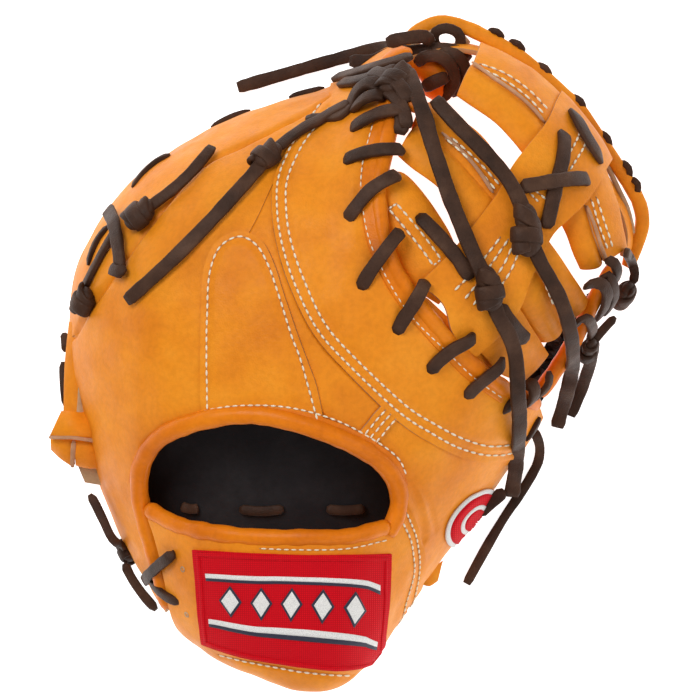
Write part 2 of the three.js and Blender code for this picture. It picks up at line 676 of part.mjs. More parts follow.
// Laces over the web's binding and across the post, then the free ends
const knotRoom = knots
  .map((knot) => {
    const room = 1.6 * clearance;
    return lump(knot, knot.length * mittLength + room, knot.width * mittLength + room, knotHeight + room);
  })
  .reduce((sum, solid) => sum.add(solid));
const laceRoom = raisedBlock.add(rollRoom).add(knotRoom);
edgeLaces.forEach((lace, i) => {
  const middle = {
    across: (lace.across + lace.toAcross) / 2,
    along: (lace.along + lace.toAlong) / 2,
    over: bindingRadius + laceRadius,
  };
  const start = { ...lace, over: laceRadius };
  const end = { across: lace.toAcross, along: lace.toAlong, over: laceRadius };
  piece(`edge_lace_${i + 1}`, tube([start, middle, end], laceRadius).subtract(laceRoom), 'lace');
});
crossLaces.forEach((lace, i) => {
  const low = tailRadius;
  const middle = {
    across: (lace.across + lace.toAcross) / 2,
    along: (lace.along + lace.toAlong) / 2,
    over: low + lace.over * (2 * tailRadius + clearance),
  };
  const start = { ...lace, over: low };
  const end = { across: lace.toAcross, along: lace.toAlong, over: low };
  piece(`cross_lace_${i + 1}`, tube([start, middle, end], tailRadius).subtract(laceRoom), 'lace');
});
for (const [name, table] of Object.entries(laceEnds)) {
  const placed = table.map((row) => ({
    ...row,
    over: row.over * tailRadius,
    height: row.height && row.height * tailRadius,
  }));
  piece(name, tube(placed, tailRadius).subtract(laceRoom), 'lace');
}

export default mitt;
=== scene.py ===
import math

import bmesh
import bpy
from mathutils import Matrix, Vector, noise
from mathutils.geometry import intersect_point_line


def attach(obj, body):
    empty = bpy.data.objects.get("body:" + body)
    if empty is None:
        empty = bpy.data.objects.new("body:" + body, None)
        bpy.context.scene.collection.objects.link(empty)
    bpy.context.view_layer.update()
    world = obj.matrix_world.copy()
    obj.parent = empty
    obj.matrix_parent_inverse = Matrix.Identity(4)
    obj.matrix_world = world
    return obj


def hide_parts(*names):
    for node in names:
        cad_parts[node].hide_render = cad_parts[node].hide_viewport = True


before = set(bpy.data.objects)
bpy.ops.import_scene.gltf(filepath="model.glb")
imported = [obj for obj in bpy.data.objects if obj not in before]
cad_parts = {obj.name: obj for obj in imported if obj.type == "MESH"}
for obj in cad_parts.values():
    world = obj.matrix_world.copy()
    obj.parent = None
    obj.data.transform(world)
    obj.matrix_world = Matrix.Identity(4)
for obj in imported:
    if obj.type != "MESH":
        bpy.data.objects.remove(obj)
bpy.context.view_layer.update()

# The mitt lies palm down; sizes in metres, as the frame has them
mitt = {
    "width": 0.276,
    "length": 0.306,
    "height": 0.104,
    "pocket": 0.056,
    "leather": 0.0026,
    "palm": 0.006,
    "crownX": -0.0069,
    "crownY": 0.0067,
    "roundness": 2.4,
}

# Rim every 15 degrees from the thumb side: reach and palm as shares of the plan, lift of the height
rimRows = [
    (0.428, 0.04, 0.385), (0.533, 0.16, 0.48), (0.534, 0.2, 0.48), (0.527, 0.2, 0.48),
    (0.518, 0.18, 0.47), (0.459, 0.1, 0.42), (0.379, 0.02, 0.347), (0.365, 0, 0.333),
    (0.371, 0, 0.339), (0.391, 0, 0.359), (0.417, 0, 0.385), (0.442, 0, 0.41),
    (0.446, 0, 0.414), (0.445, 0, 0.413), (0.453, 0, 0.415), (0.474, 0.06, 0.42),
    (0.51, 0.3, 0.44), (0.519, 0.56, 0.45), (0.52, 0.6, 0.44), (0.431, 0.2, 0.39),
    (0.375, 0.02, 0.338), (0.353, 0, 0.318), (0.355, 0, 0.32), (0.374, 0, 0.34),
]
halfTurn = math.pi / 2


def rimAt(column, angle):
    turns = (angle / (2 * math.pi)) * len(rimRows)
    first = math.floor(turns)
    f = turns - first
    a, b, c, d = [rimRows[(first + k) % len(rimRows)][column] for k in (-1, 0, 1, 2)]
    return b + 0.5 * f * (c - a + f * (2 * a - 5 * b + 4 * c - d + f * (3 * (b - c) + d - a)))


def bowlPoint(angle, fall, palm=False):
    out = rimAt(2 if palm else 0, angle) * math.sin(min(max(fall, 0), math.pi)) ** (2 / mitt["roundness"])
    lift = 0 if palm else max(rimAt(1, angle), 0) * mitt["height"]
    top = mitt["pocket"] if palm else mitt["height"]
    return Vector((
        mitt["crownX"] + out * math.cos(angle) * mitt["width"],
        mitt["crownY"] + out * math.sin(angle) * mitt["length"],
        lift + (top - lift) * math.cos(fall),
    ))


def bowlNormal(angle, fall, palm=False):
    step = 0.01
    held = max(fall, 0.05)
    down = bowlPoint(angle, held + step, palm) - bowlPoint(angle, held - step, palm)
    around = bowlPoint(angle + step, held, palm) - bowlPoint(angle - step, held, palm)
    return down.cross(around).normalized()


def bowl(angle, fall, depth=0.0, palm=False):
    return bowlPoint(angle, fall, palm) - bowlNormal(angle, fall, palm) * depth


# The back laid flat: a plan place becomes a pattern place, whose length is the fall
def toPattern(x, y):
    dx = (x - mitt["crownX"]) / mitt["width"]
    dy = (y - mitt["crownY"]) / mitt["length"]
    angle = math.atan2(dy, dx) % (2 * math.pi)
    share = min(math.hypot(dx, dy) / rimAt(0, angle), 1.0)
    fall = math.asin(share ** (mitt["roundness"] / 2))
    return Vector((fall * math.cos(angle), fall * math.sin(angle), 0))


def fromPattern(place, depth=0.0, palm=False):
    angle = math.atan2(place.y, place.x) % (2 * math.pi)
    return bowl(angle, min(place.length, halfTurn), depth, palm)


def patternNormal(place):
    return bowlNormal(math.atan2(place.y, place.x) % (2 * math.pi), min(place.length, halfTurn))


# Places are given as the photograph's pixels, 2.2 to a millimetre from its middle
photo = {"middle": 350.0, "pixelsPerMetre": 2200.0}


def plan(px, py):
    return ((px - photo["middle"]) / photo["pixelsPerMetre"], (photo["middle"] - py) / photo["pixelsPerMetre"])


# Place on the back under a plan place, for a point held some way over it
def placeUnder(x, y, over):
    goalX, goalY = x, y
    for _ in range(6):
        place = toPattern(x, y)
        point = fromPattern(place, -over)
        x += (goalX - point.x) * 0.8
        y += (goalY - point.y) * 0.8
    return toPattern(x, y)


def spot(px, py, over=0.0):
    return fromPattern(placeUnder(*plan(px, py), over), -over)


# Smooth line through rows, cut into even steps
def splineThrough(points, count):
    ends = [points[0] * 2 - points[1]] + points + [points[-1] * 2 - points[-2]]
    fine = []
    for i in range(1, len(ends) - 2):
        a, b, c, d = ends[i - 1:i + 3]
        for k in range(16):
            f = k / 16
            fine.append(b + 0.5 * f * (c - a + f * (2 * a - 5 * b + 4 * c - d + f * (3 * (b - c) + d - a))))
    fine.append(points[-1])
    runs = [0.0]
    for a, b in zip(fine, fine[1:]):
        runs.append(runs[-1] + (b - a).length)
    even = []
    at = 0
    for k in range(count + 1):
        goal = runs[-1] * k / count
        while at < len(runs) - 2 and runs[at + 1] < goal:
            at += 1
        span = runs[at + 1] - runs[at]
        even.append(fine[at].lerp(fine[at + 1], (goal - runs[at]) / span if span else 0))
    return even


def planLine(pixels, count=60):
    return splineThrough([Vector((*plan(*p), 0)) for p in pixels], count)


def patternLine(pixels, count=60):
    return [toPattern(p.x, p.y) for p in planLine(pixels, count)]


def rimLine(start, end, count=60):
    # Along the rim from one pixel's angle to another's, the short way
    a = toPattern(*plan(*start))
    b = toPattern(*plan(*end))
    first = math.atan2(a.y, a.x)
    turn = math.atan2(b.y, b.x) - first
    turn = (turn + math.pi) % (2 * math.pi) - math.pi
    return [
        Vector((halfTurn * math.cos(first + turn * k / count), halfTurn * math.sin(first + turn * k / count), 0))
        for k in range(count + 1)
    ]


def along(line, share):
    at = min(max(share, 0), 1) * (len(line) - 1)
    i = min(int(at), len(line) - 2)
    return line[i].lerp(line[i + 1], at - i)


print("materials")


def newMaterial(name):
    material = bpy.data.materials.new(name)
    material.use_nodes = True
    nodes = material.node_tree.nodes
    return material, nodes, material.node_tree.links, nodes["Principled BSDF"]


def addNoise(nodes, links, coords, scale, detail=3.0, roughness=0.55, stretch=None):
    texture = nodes.new("ShaderNodeTexNoise")
    texture.inputs["Scale"].default_value = scale
    texture.inputs["Detail"].default_value = detail
    texture.inputs["Roughness"].default_value = roughness
    if stretch:
        mapping = nodes.new("ShaderNodeMapping")
        mapping.inputs["Scale"].default_value = stretch
        links.new(coords, mapping.inputs["Vector"])
        coords = mapping.outputs["Vector"]
    links.new(coords, texture.inputs["Vector"])
    return texture.outputs["Fac"]


def addRamp(nodes, links, value, stops):
    ramp = nodes.new("ShaderNodeValToRGB")
    while len(ramp.color_ramp.elements) < len(stops):
        ramp.color_ramp.elements.new(0.5)
    for element, (position, colour) in zip(ramp.color_ramp.elements, stops):
        element.position = position
        element.color = (*colour, 1)
    links.new(value, ramp.inputs["Fac"])
    return ramp.outputs["Color"]


def addBump(nodes, links, height, strength, distance, before=None):
    bump = nodes.new("ShaderNodeBump")
    bump.inputs["Strength"].default_value = strength
    bump.inputs["Distance"].default_value = distance
    links.new(height, bump.inputs["Height"])
    if before:
        links.new(before, bump.inputs["Normal"])
    return bump.outputs["Normal"]


def leatherFinish(name, dark, middle, light, roughness, grain=0.25, pores=1150.0, mottle=26.0):
    material, nodes, links, shader = newMaterial(name)
    shader.inputs["Specular IOR Level"].default_value = 0.15
    coords = nodes.new("ShaderNodeTexCoord").outputs["Object"]
    cloud = addNoise(nodes, links, coords, mottle, 4.0, 0.6)
    colour = addRamp(nodes, links, cloud, [(0.3, dark), (0.52, middle), (0.74, light)])
    fine = addNoise(nodes, links, coords, 420.0, 2.0)
    speck = nodes.new("ShaderNodeMix")
    speck.data_type = "RGBA"
    speck.blend_type = "MULTIPLY"
    speck.inputs["Factor"].default_value = 0.35
    tint = addRamp(nodes, links, fine, [(0.35, (0.82, 0.8, 0.78)), (0.6, (1, 1, 1))])
    links.new(colour, speck.inputs["A"])
    links.new(tint, speck.inputs["B"])
    links.new(speck.outputs["Result"], shader.inputs["Base Color"])
    cells = nodes.new("ShaderNodeTexVoronoi")
    cells.inputs["Scale"].default_value = pores
    links.new(coords, cells.inputs["Vector"])
    creases = addNoise(nodes, links, coords, 95.0, 5.0, 0.65)
    first = addBump(nodes, links, cells.outputs["Distance"], grain, 0.0004)
    second = addBump(nodes, links, creases, grain * 0.8, 0.0012, first)
    links.new(second, shader.inputs["Normal"])
    gloss = addRamp(nodes, links, creases, [(0.3, (roughness - 0.08,) * 3), (0.7, (roughness + 0.1,) * 3)])
    links.new(gloss, shader.inputs["Roughness"])
    return material


tanLeather = leatherFinish("tan leather", (0.71, 0.2, 0.008), (0.83, 0.265, 0.011), (0.89, 0.32, 0.02), 0.46)
bindingLeather = leatherFinish(
    "binding leather", (0.62, 0.14, 0.004), (0.77, 0.195, 0.005), (0.85, 0.25, 0.01), 0.36, 0.18
)
rawEdge = leatherFinish("cut edge", (0.4, 0.17, 0.06), (0.52, 0.25, 0.1), (0.62, 0.33, 0.15), 0.75, 0.5, 2200.0)
paleEdge = leatherFinish("pale cut edge", (0.42, 0.2, 0.1), (0.55, 0.29, 0.16), (0.66, 0.38, 0.22), 0.8, 0.5, 2400.0)
suedeSide = leatherFinish("suede side", (0.45, 0.27, 0.14), (0.58, 0.38, 0.22), (0.68, 0.47, 0.3), 0.85, 0.5, 2600.0)
laceLeather = leatherFinish("lace leather", (0.03, 0.014, 0.008), (0.056, 0.025, 0.014), (0.095, 0.046, 0.026),
                            0.5, 0.35, 1500.0, 60.0)
# Near-black for the leather inside the mitt: the shade in there is painted into the lining's colour
liningLeatherPaintedShade = leatherFinish("lining leather in painted shade", (0.012, 0.011, 0.013), (0.02, 0.018, 0.02), (0.032, 0.03, 0.032),
                              0.6, 0.3, 1300.0)


def threadFinish(name, colour):
    material, nodes, links, shader = newMaterial(name)
    coords = nodes.new("ShaderNodeTexCoord").outputs["Object"]
    twist = addNoise(nodes, links, coords, 2600.0, 1.0)
    shade = tuple(c * 0.75 for c in colour)
    links.new(addRamp(nodes, links, twist, [(0.35, shade), (0.6, colour)]), shader.inputs["Base Color"])
    links.new(addBump(nodes, links, twist, 0.4, 0.0002), shader.inputs["Normal"])
    shader.inputs["Roughness"].default_value = 0.7
    return material


creamThread = threadFinish("cream thread", (0.9, 0.82, 0.62))
whiteThread = threadFinish("white thread", (0.85, 0.83, 0.8))
# Dark thread: the outlines of the label's diamonds, and also the painted shadows under its white stripes
darkThreadAndShadow = threadFinish("dark thread and painted shadow", (0.02, 0.02, 0.045))


def wovenFinish(name, colour):
    material, nodes, links, shader = newMaterial(name)
    coords = nodes.new("ShaderNodeTexCoord").outputs["Object"]
    warp, weft = nodes.new("ShaderNodeTexWave"), nodes.new("ShaderNodeTexWave")
    for wave, direction in ((warp, "X"), (weft, "Y")):
        wave.bands_direction = direction
        wave.inputs["Scale"].default_value = 330.0
        wave.inputs["Distortion"].default_value = 0.6
        links.new(coords, wave.inputs["Vector"])
    cross = nodes.new("ShaderNodeMath")
    cross.operation = "MULTIPLY"
    links.new(warp.outputs["Fac"], cross.inputs[0])
    links.new(weft.outputs["Fac"], cross.inputs[1])
    dark = tuple(c * 0.72 for c in colour)
    links.new(addRamp(nodes, links, cross.outputs[0], [(0.0, dark), (0.5, colour)]), shader.inputs["Base Color"])
    links.new(addBump(nodes, links, cross.outputs[0], 0.5, 0.0004), shader.inputs["Normal"])
    shader.inputs["Roughness"].default_value = 0.8
    shader.inputs["Specular IOR Level"].default_value = 0.12
    return material


labelCloth = wovenFinish("red woven cloth", (0.72, 0.003, 0.012))

print("camera")
cameraData = bpy.data.cameras.new("camera")
cameraHeight = 4.0
viewHeight = 0.055
cameraData.lens = 36.0 * (cameraHeight - viewHeight) / (700 / photo["pixelsPerMetre"])
cameraData.clip_end = 20.0
camera = bpy.data.objects.new("camera", cameraData)
camera.location = (0, 0, cameraHeight)
bpy.context.collection.objects.link(camera)
bpy.context.scene.camera = camera


# Finishing a piece: object, slots, frame calls
def finishPiece(name, bm, materials, replaces=(), thick=None, bevel=None):
    for vert in bm.verts:
        vert.co.z = max(vert.co.z, 0.0006)
    mesh = bpy.data.meshes.new(name)
    bm.to_mesh(mesh)
    bm.free()
    for polygon in mesh.polygons:
        polygon.use_smooth = True
    piece = bpy.data.objects.new(name, mesh)
    bpy.context.collection.objects.link(piece)
    for material in materials:
        mesh.materials.append(material)
    if thick:
        wall = piece.modifiers.new("wall", "SOLIDIFY")
        wall.thickness = thick
        wall.offset = -1.0
        wall.use_rim = True
        if len(materials) > 1:
            wall.material_offset_rim = 1
        if len(materials) > 2:
            wall.material_offset = 2
    if bevel:
        edge = piece.modifiers.new("edge", "BEVEL")
        edge.width = bevel
        edge.segments = 3
        edge.limit_method = "ANGLE"
        edge.angle_limit = math.radians(50)
    if thick:
        # The wall as a plain mesh, kept off the floor
        solid = bpy.data.meshes.new_from_object(piece.evaluated_get(bpy.context.evaluated_depsgraph_get()))
        piece.modifiers.clear()
        piece.data = solid
        for vert in solid.vertices:
            vert.co.z = max(vert.co.z, 0.0003)
    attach(piece, "root")
    if replaces:
        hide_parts(*replaces)
    return piece


def frameAt(point, ahead, outward, width, height):
    side = ahead.cross(outward).normalized()
    up = side.cross(ahead).normalized()
    return Matrix((
        (side.x * width, up.x * height, ahead.x, point.x),
        (side.y * width, up.y * height, ahead.y, point.y),
        (side.z * width, up.z * height, ahead.z, point.z),
        (0, 0, 0, 1),
    ))


# A sweep: a round or flat section carried along a path
def sweep(bm, points, normals, width, height, segments=12, squareness=1.0, taper=0.8, wobble=0.0, twist=0.0):
    ring = bmesh.ops.create_circle(bm, cap_ends=True, segments=segments, radius=1.0)["verts"]
    for vert in ring:
        for axis in (0, 1):
            vert.co[axis] = math.copysign(abs(vert.co[axis]) ** (1 / squareness), vert.co[axis])
    last = len(points) - 1
    frames = []
    for i, point in enumerate(points):
        ahead = (points[min(i + 1, last)] - points[max(i - 1, 0)]).normalized()
        size = taper if i in (0, last) else 1.0
        size *= 1 + wobble * noise.noise(point * 170.0)
        outward = normals[i]
        if twist:
            outward = Matrix.Rotation(twist * i / last, 3, ahead) @ outward
        frames.append(frameAt(point, ahead, outward, width * size / 2, height * size / 2))
    bmesh.ops.transform(bm, matrix=frames[0], verts=ring)
    ringSet = set(ring)
    edges = [e for e in {e for v in ring for e in v.link_edges} if all(v in ringSet for v in e.verts)]
    for before, after in zip(frames, frames[1:]):
        grown = bmesh.ops.extrude_edge_only(bm, edges=edges)["geom"]
        verts = [g for g in grown if isinstance(g, bmesh.types.BMVert)]
        edges = [g for g in grown if isinstance(g, bmesh.types.BMEdge)]
        bmesh.ops.transform(bm, matrix=after @ before.inverted(), verts=verts)
    bmesh.ops.contextual_create(bm, geom=edges)


# Rows are pixels with a height over the back in millimetres, or 0 and a height over the floor
def rowPoint(row):
    x, y = plan(row[0], row[1])
    if len(row) > 3:
        return Vector((x, y, row[3] / 1000)), Vector((0, 0, 1))
    over = (row[2] if len(row) > 2 else 0) / 1000
    place = placeUnder(x, y, over)
    return fromPattern(place, -over), patternNormal(place)


def routeThrough(rows, step=0.0025, upward=0.0):
    marks = [(point, (normal + Vector((0, 0, upward))).normalized()) for point, normal in map(rowPoint, rows)]
    points = [m[0] for m in marks]
    run = sum((b - a).length for a, b in zip(points, points[1:]))
    count = max(round(run / step), 6)
    path = splineThrough(points, count)
    normals = []
    for point in path:
        near = sorted((((point - p).length + 0.0005), i) for i, p in enumerate(points))[:2]
        mixed = sum((marks[i][1] / d ** 1.5 for d, i in near), Vector())
        normals.append(mixed.normalized())
    return path, normals


print("laces")
lace = {"width": 0.0068, "thick": 0.0027, "tailWidth": 0.0058}


def addLace(bm, rows, width=None, thick=None, twist=0.0, taper=0.8, upward=0.0):
    path, normals = routeThrough(rows, 0.0025, upward)
    sweep(bm, path, normals, width or lace["width"], thick or lace["thick"], 14, 2.4, taper, 0.1, twist)
    return path


def lacePiece(name, rows, replaces=(), width=None, twist=0.0, farEnd=None, taper=0.8, thick=None):
    bm = bmesh.new()
    path = addLace(bm, rows, width, thick, twist, taper, 1.6 if farEnd else 0.0)
    bmesh.ops.recalc_face_normals(bm, faces=bm.faces)
    piece = finishPiece(name, bm, [laceLeather], replaces, bevel=None)
    return piece


# Free lace ends, in the frame of the solids they stand for
freeEnds = [
    ("long_lace_left_upper", "knot", 0.0072, 0.0,
     [(408, 72, 5.5), (416, 95, 6), (424, 120, 6), (431, 145, 6), (439, 170, 5.5), (448, 197, 5), (458, 222, 5),
      (468, 246, 5), (478, 268, 6), (488, 290, 6)]),
    ("long_lace_left_lower", "bare", 0.0072, 0.0,
     [(488, 294, 6), (497, 317, 6.5), (508, 336, 7), (514, 355, 7.5), (516, 375, 9), (517, 395, 9.5),
      (519, 416, 8), (519, 437, 6), (518, 455, 0, 27), (517, 472, 0, 18), (515, 486, 0, 11), (514, 498, 0, 8.5)]),
    ("long_lace_right_upper", "knot", 0.007, 0.0,
     [(434, 101, 5), (447, 116, 5), (461, 131, 5), (476, 146, 5.5), (491, 162, 6), (505, 179, 6), (516, 198, 6),
      (525, 222, 6)]),
    ("long_lace_right_lower", "bare", 0.0068, 0.0,
     [(527, 236, 6), (538, 262, 6), (549, 281, 6), (558, 298, 7), (565, 316, 8.5), (570, 335, 9.5),
      (573, 354, 8), (573, 372, 0, 31), (570, 388, 0, 22), (567, 402, 0, 12), (563, 416, 0, 5), (560, 428, 0, 2.4)]),
    ("top_tail", "bare", 0.006, 0.0,
     [(397, 46, 0, 26), (386, 44, 0, 17), (372, 46, 0, 9), (356, 50, 0, 4.5), (338, 55, 0, 2.6),
      (316, 61, 0, 2.2), (292, 68, 0, 2.2), (264, 76, 0, 2.2), (236, 84, 0, 2.2)]),
    ("rim_tail_long", "bare", 0.0064, 0.0,
     [(266, 160, 4), (252, 177, 3.6), (236, 195, 3.4), (217, 216, 3.4), (197, 237, 3.4), (175, 259, 3.4),
      (152, 280, 3.4), (128, 301, 3.4)]),
    ("rim_tail_short", "bare", 0.0052, 0.0,
     [(142, 213, 3.6), (158, 201, 3.4), (174, 189, 3.4), (190, 174, 3.4), (202, 160, 3.4), (212, 147, 3.4)]),
    ("thumb_tail", "bare", 0.0058, 0.0,
     [(593, 352, 0, 34), (592, 364, 0, 22), (588, 378, 0, 12), (584, 391, 0, 5.5), (578, 405, 0, 2.4),
      (573, 417, 0, 2.2)]),
    ("floor_tail", "bare", 0.0046, 0.0,
     [(537, 433, 0, 12), (542, 447, 0, 5.5), (541, 462, 0, 2.6), (534, 477, 0, 2), (523, 495, 0, 2),
      (508, 517, 0, 2), (494, 540, 0, 2), (481, 563, 0, 2), (468, 587, 0, 2)]),
]
for name, farEnd, width, twist, rows in freeEnds:
    lacePiece(name + "_hide", rows, [name], width, twist, farEnd)

# Loops of lace over the web's edge roll, from the hole in the panel to the inside
edgeLoops = [
    [(350, 132, 0.4), (359, 124, 2.6), (380, 114, 4.6), (399, 111, 5.4), (409, 112, 1.5)],
    [(343, 163, 0.4), (355, 157, 2.6), (375, 152, 4.6), (394, 151, 5.4), (404, 152, 1.0)],
    [(346, 223, 0.4), (354, 211, 2.6), (370, 192, 4.6), (389, 180, 5.4), (399, 176, 1.0)],
    [(360, 291, 0.4), (367, 277, 2.6), (381, 257, 4.6), (394, 240, 5.4), (401, 232, 1.0)],
    [(395, 335, 0.4), (402, 321, 2.6), (412, 306, 4.6), (421, 290, 5.2), (425, 281, 1.0)],
    [(428, 373, 0.4), (437, 362, 2.6), (452, 350, 4.6), (467, 342, 5.2), (474, 336, 1.0)],
    [(464, 398, 0.4), (474, 388, 2.6), (486, 378, 4.6), (498, 368, 5.2), (503, 360, 1.0)],
]
for number, rows in enumerate(edgeLoops, 1):
    lacePiece(f"edge_loop_{number}", rows, [f"edge_lace_{number}"], 0.0064, 0.0, None, 0.35)

lacePiece("cross_loop_low", [(545, 229, 1), (547, 221, 2.6), (554, 190, 2.8), (562, 160, 2.8), (564, 140, 2.4), (563, 132, 0.6)],
          ["cross_lace_1"], 0.0068, 0.0, None, 0.6)
lacePiece("cross_loop_high", [(519, 188, 1), (526, 187, 4), (548, 183, 5.6), (568, 180, 5), (582, 179, 3), (588, 180, 0.8)],
          ["cross_lace_2"], 0.0068, 0.0, None, 0.6)

# Small laces that show only as short lengths
shortLaces = {
    "post_end_loop": ([(574, 111, 0.5), (578, 119, 3), (588, 138, 3.4), (597, 152, 3), (602, 160, 0.5)], 0.0072),
    "band_lace": ([(417, 217, -2.4), (424, 223, 0.2), (440, 240, 1.4), (456, 259, 2.4), (470, 280, 2.0)], 0.0068),
    "base_lace_end": ([(497, 306, 3.0), (508, 322, 3.0), (518, 333, 1.6), (526, 341, 0.8)], 0.0068),
    "rim_lace_left": ([(87, 265, 0.2), (91, 250, 0.9), (98, 236, 0.9), (108, 225, 0.2)], 0.0034),
    "rim_lace_upper": ([(131, 186, 0.2), (141, 172, 0.9), (154, 160, 0.9), (168, 153, 0.2)], 0.0034),
    "rim_lace_top": ([(209, 124, 0.2), (222, 117, 0.9), (236, 111, 0.9), (249, 107, 0.2)], 0.0032),
    "rim_lace_end": ([(288, 93, 0.2), (300, 89, 0.9), (312, 85, 0.9), (324, 82, 0.2)], 0.0032),
    "rim_strip": ([(106, 208, 3.4), (113, 222, 4.6), (117, 240, 4.2), (120, 262, 3.0), (119, 278, 1.4)], 0.0068),
    "rim_strip_end": ([(111, 268, 3.4), (119, 272, 4.6), (127, 268, 3.4)], 0.0056),
    "rim_link": ([(116, 228, 2.2), (104, 248, 2.0), (92, 270, 1.8), (82, 290, 1.8)], 0.0044),
    "lace_to_corner": ([(276, 150, 2.6), (290, 138, 3.2), (306, 127, 3.4), (318, 121, 3.4), (332, 112, 3.4),
                        (350, 103, 3.4)], 0.0058),
    "lace_to_corner_low": ([(306, 118, 3.0), (322, 118, 2.4), (340, 116, 2.6), (352, 104, 3.0)], 0.005),
    "heel_cross": ([(142, 584, 0.5), (147, 577, 2.4), (158, 566, 3.2), (170, 556, 3.4), (174, 551, 0.6)], 0.0052),
    "heel_cross_low": ([(150, 583, 0.8), (158, 591, 2.4), (168, 598, 2.2), (180, 602, 0.4)], 0.0046),
    "heel_tail": ([(120, 556, 0.6), (111, 541, 0, 22), (101, 522, 0, 18), (92, 504, 0, 15), (87, 496, 0, 14)], 0.0042),
    "heel_edge_lace": ([(122, 566, 0, 14), (130, 582, 0, 11), (141, 598, 0, 9), (154, 613, 0, 8)], 0.0044),
    "side_lace_a": ([(61, 333, 0, 10), (62, 342, 0, 12), (63, 352, 0, 12)], 0.004),
    "side_lace_b": ([(60, 362, 0, 12), (61, 384, 0, 14), (63, 407, 0, 14)], 0.004),
    "thumb_loop_a": ([(584, 289, 1), (592, 284, 4.4), (602, 285, 6.6), (607, 296, 6.6), (604, 309, 4.4), (599, 318, 1)],
                     0.0056),
    "thumb_loop_b": ([(574, 327, 1), (580, 320, 5), (588, 320, 6.8), (593, 329, 5.4), (592, 338, 2)], 0.0052),
    "thumb_loop_c": ([(600, 280, 2), (607, 276, 5.4), (613, 286, 6.4), (614, 300, 5), (606, 314, 1.6)], 0.0048),
    "thumb_stub": ([(617, 317, 0, 26), (609, 325, 0, 28), (601, 334, 0, 30), (594, 343, 0, 31)], 0.0042),
    "thumb_loop_low": ([(549, 371, 2), (549, 383, 4.4), (542, 393, 4.2), (535, 399, 1)], 0.0044),
    "thumb_hook": ([(527, 380, 0.5), (533, 386, 4.2), (534, 397, 5.4), (527, 406, 2)], 0.006),
    "corner_stub": ([(504, 413, 0.4), (509, 406, 2.2), (516, 399, 2.6)], 0.005),
    "thumb_side_lace": ([(541, 418, 2), (536, 428, 2.4), (528, 441, 1.6)], 0.0048),
    "under_lace": ([(480, 516, 0, 6), (490, 507, 0, 8), (500, 498, 0, 10), (506, 492, 0, 11)], 0.006),
    "outer_loop_a": ([(604, 262, 3), (612, 262, 6), (617, 272, 5.6), (614, 284, 2.4)], 0.005),
    "outer_loop_b": ([(626, 252, 3), (634, 262, 0, 26), (637, 274, 0, 24), (634, 284, 0, 23)], 0.0044),
}
for name, (rows, width) in shortLaces.items():
    lacePiece(name, rows, (), width, 0.0, None, 0.5)

# Marks of lace along the web's outer rim
bm = bmesh.new()
for px, py, dx, dy in [(497, 32, 7, 4), (518, 44, 7, 5), (545, 68, 7, 6), (580, 101, 6, 7), (607, 138, 5, 8),
                       (628, 168, 4, 8), (637, 184, 3, 7)]:
    out = Vector((dy, -dx)).normalized() * 3.4
    addLace(bm, [(px - dx, py - dy, 0, 20), (px + out.x, py + out.y, 0, 23.6), (px + dx, py + dy, 0, 20)],
            0.003, 0.0026, 0.0, 0.5)
bmesh.ops.recalc_face_normals(bm, faces=bm.faces)
finishPiece("web_rim_laces", bm, [laceLeather])

# The tangle of lace that ties the web's top to the fingers
tangle = {
    "tangle_tab": ([(387, 41, 0, 34), (404, 37, 0, 36), (424, 35, 0, 36), (432, 41, 0, 33)], 0.0062, 0.003),
    "tangle_long": ([(350, 58, 0, 12), (372, 58, 0, 16), (392, 51, 0, 23), (416, 49, 0, 28), (440, 47, 0, 30),
                     (458, 50, 0, 29), (470, 58, 0, 27)], 0.0062, 0.003),
    "tangle_mid": ([(335, 75, 3), (352, 72, 3.4), (376, 66, 4), (398, 60, 4.4), (412, 56, 4)], 0.006, 0.0028),
    "tangle_second": ([(340, 82, 3), (358, 80, 3.6), (380, 74, 4.4), (396, 68, 5)], 0.0058, 0.0028),
    "tangle_arm": ([(371, 72, 4.6), (382, 75, 6.4), (394, 82, 7.4), (403, 92, 6.8), (408, 104, 4.8)], 0.0066, 0.003),
    "tangle_hoop": ([(417, 62, 0, 31), (426, 55, 0, 34), (440, 55, 0, 35), (451, 64, 0, 34), (455, 78, 0, 31),
                     (447, 92, 0, 27), (438, 98, 0, 24)], 0.0058, 0.003),
    # Dark lace laid behind the hoop as painted shadow: it fills the shade between the upper bar's edge and the tangle
    "tangle_hoop_painted_shadow": ([(440, 52, 0, 31), (453, 52, 0, 33), (463, 60, 0, 32), (466, 72, 0, 29), (459, 84, 0, 26),
                          (452, 92, 0, 22)], 0.0058, 0.003),
    "tangle_cross": ([(424, 86, 0, 33), (436, 80, 0, 35), (448, 75, 0, 33)], 0.0062, 0.003),
    "tangle_drop": ([(396, 92, 3), (401, 108, 3.4), (402, 124, 2.4), (399, 136, 1)], 0.007, 0.003),
    "tangle_low": ([(386, 92, 4.4), (396, 100, 5.4), (404, 114, 4.8), (406, 130, 2.4)], 0.0062, 0.003),
    "rim_eye": ([(441, 48, 0, 22), (435, 40, 0, 24), (436, 30, 0, 26), (447, 26, 0, 27), (459, 31, 0, 26),
                 (461, 42, 0, 24), (452, 52, 0, 22)], 0.005, 0.0034),
    "corner_wrap": ([(350, 108, 1.5), (357, 92, 5.6), (369, 84, 6.8), (381, 88, 5.2)], 0.0072, 0.0034),
    "corner_wrap_low": ([(352, 110, 1.5), (364, 100, 6.4), (377, 96, 6.0), (384, 100, 3)], 0.0062, 0.0032),
}
for name, (rows, width, thick) in tangle.items():
    lacePiece(name, rows, (), width, 0.0, None, 0.7, thick)


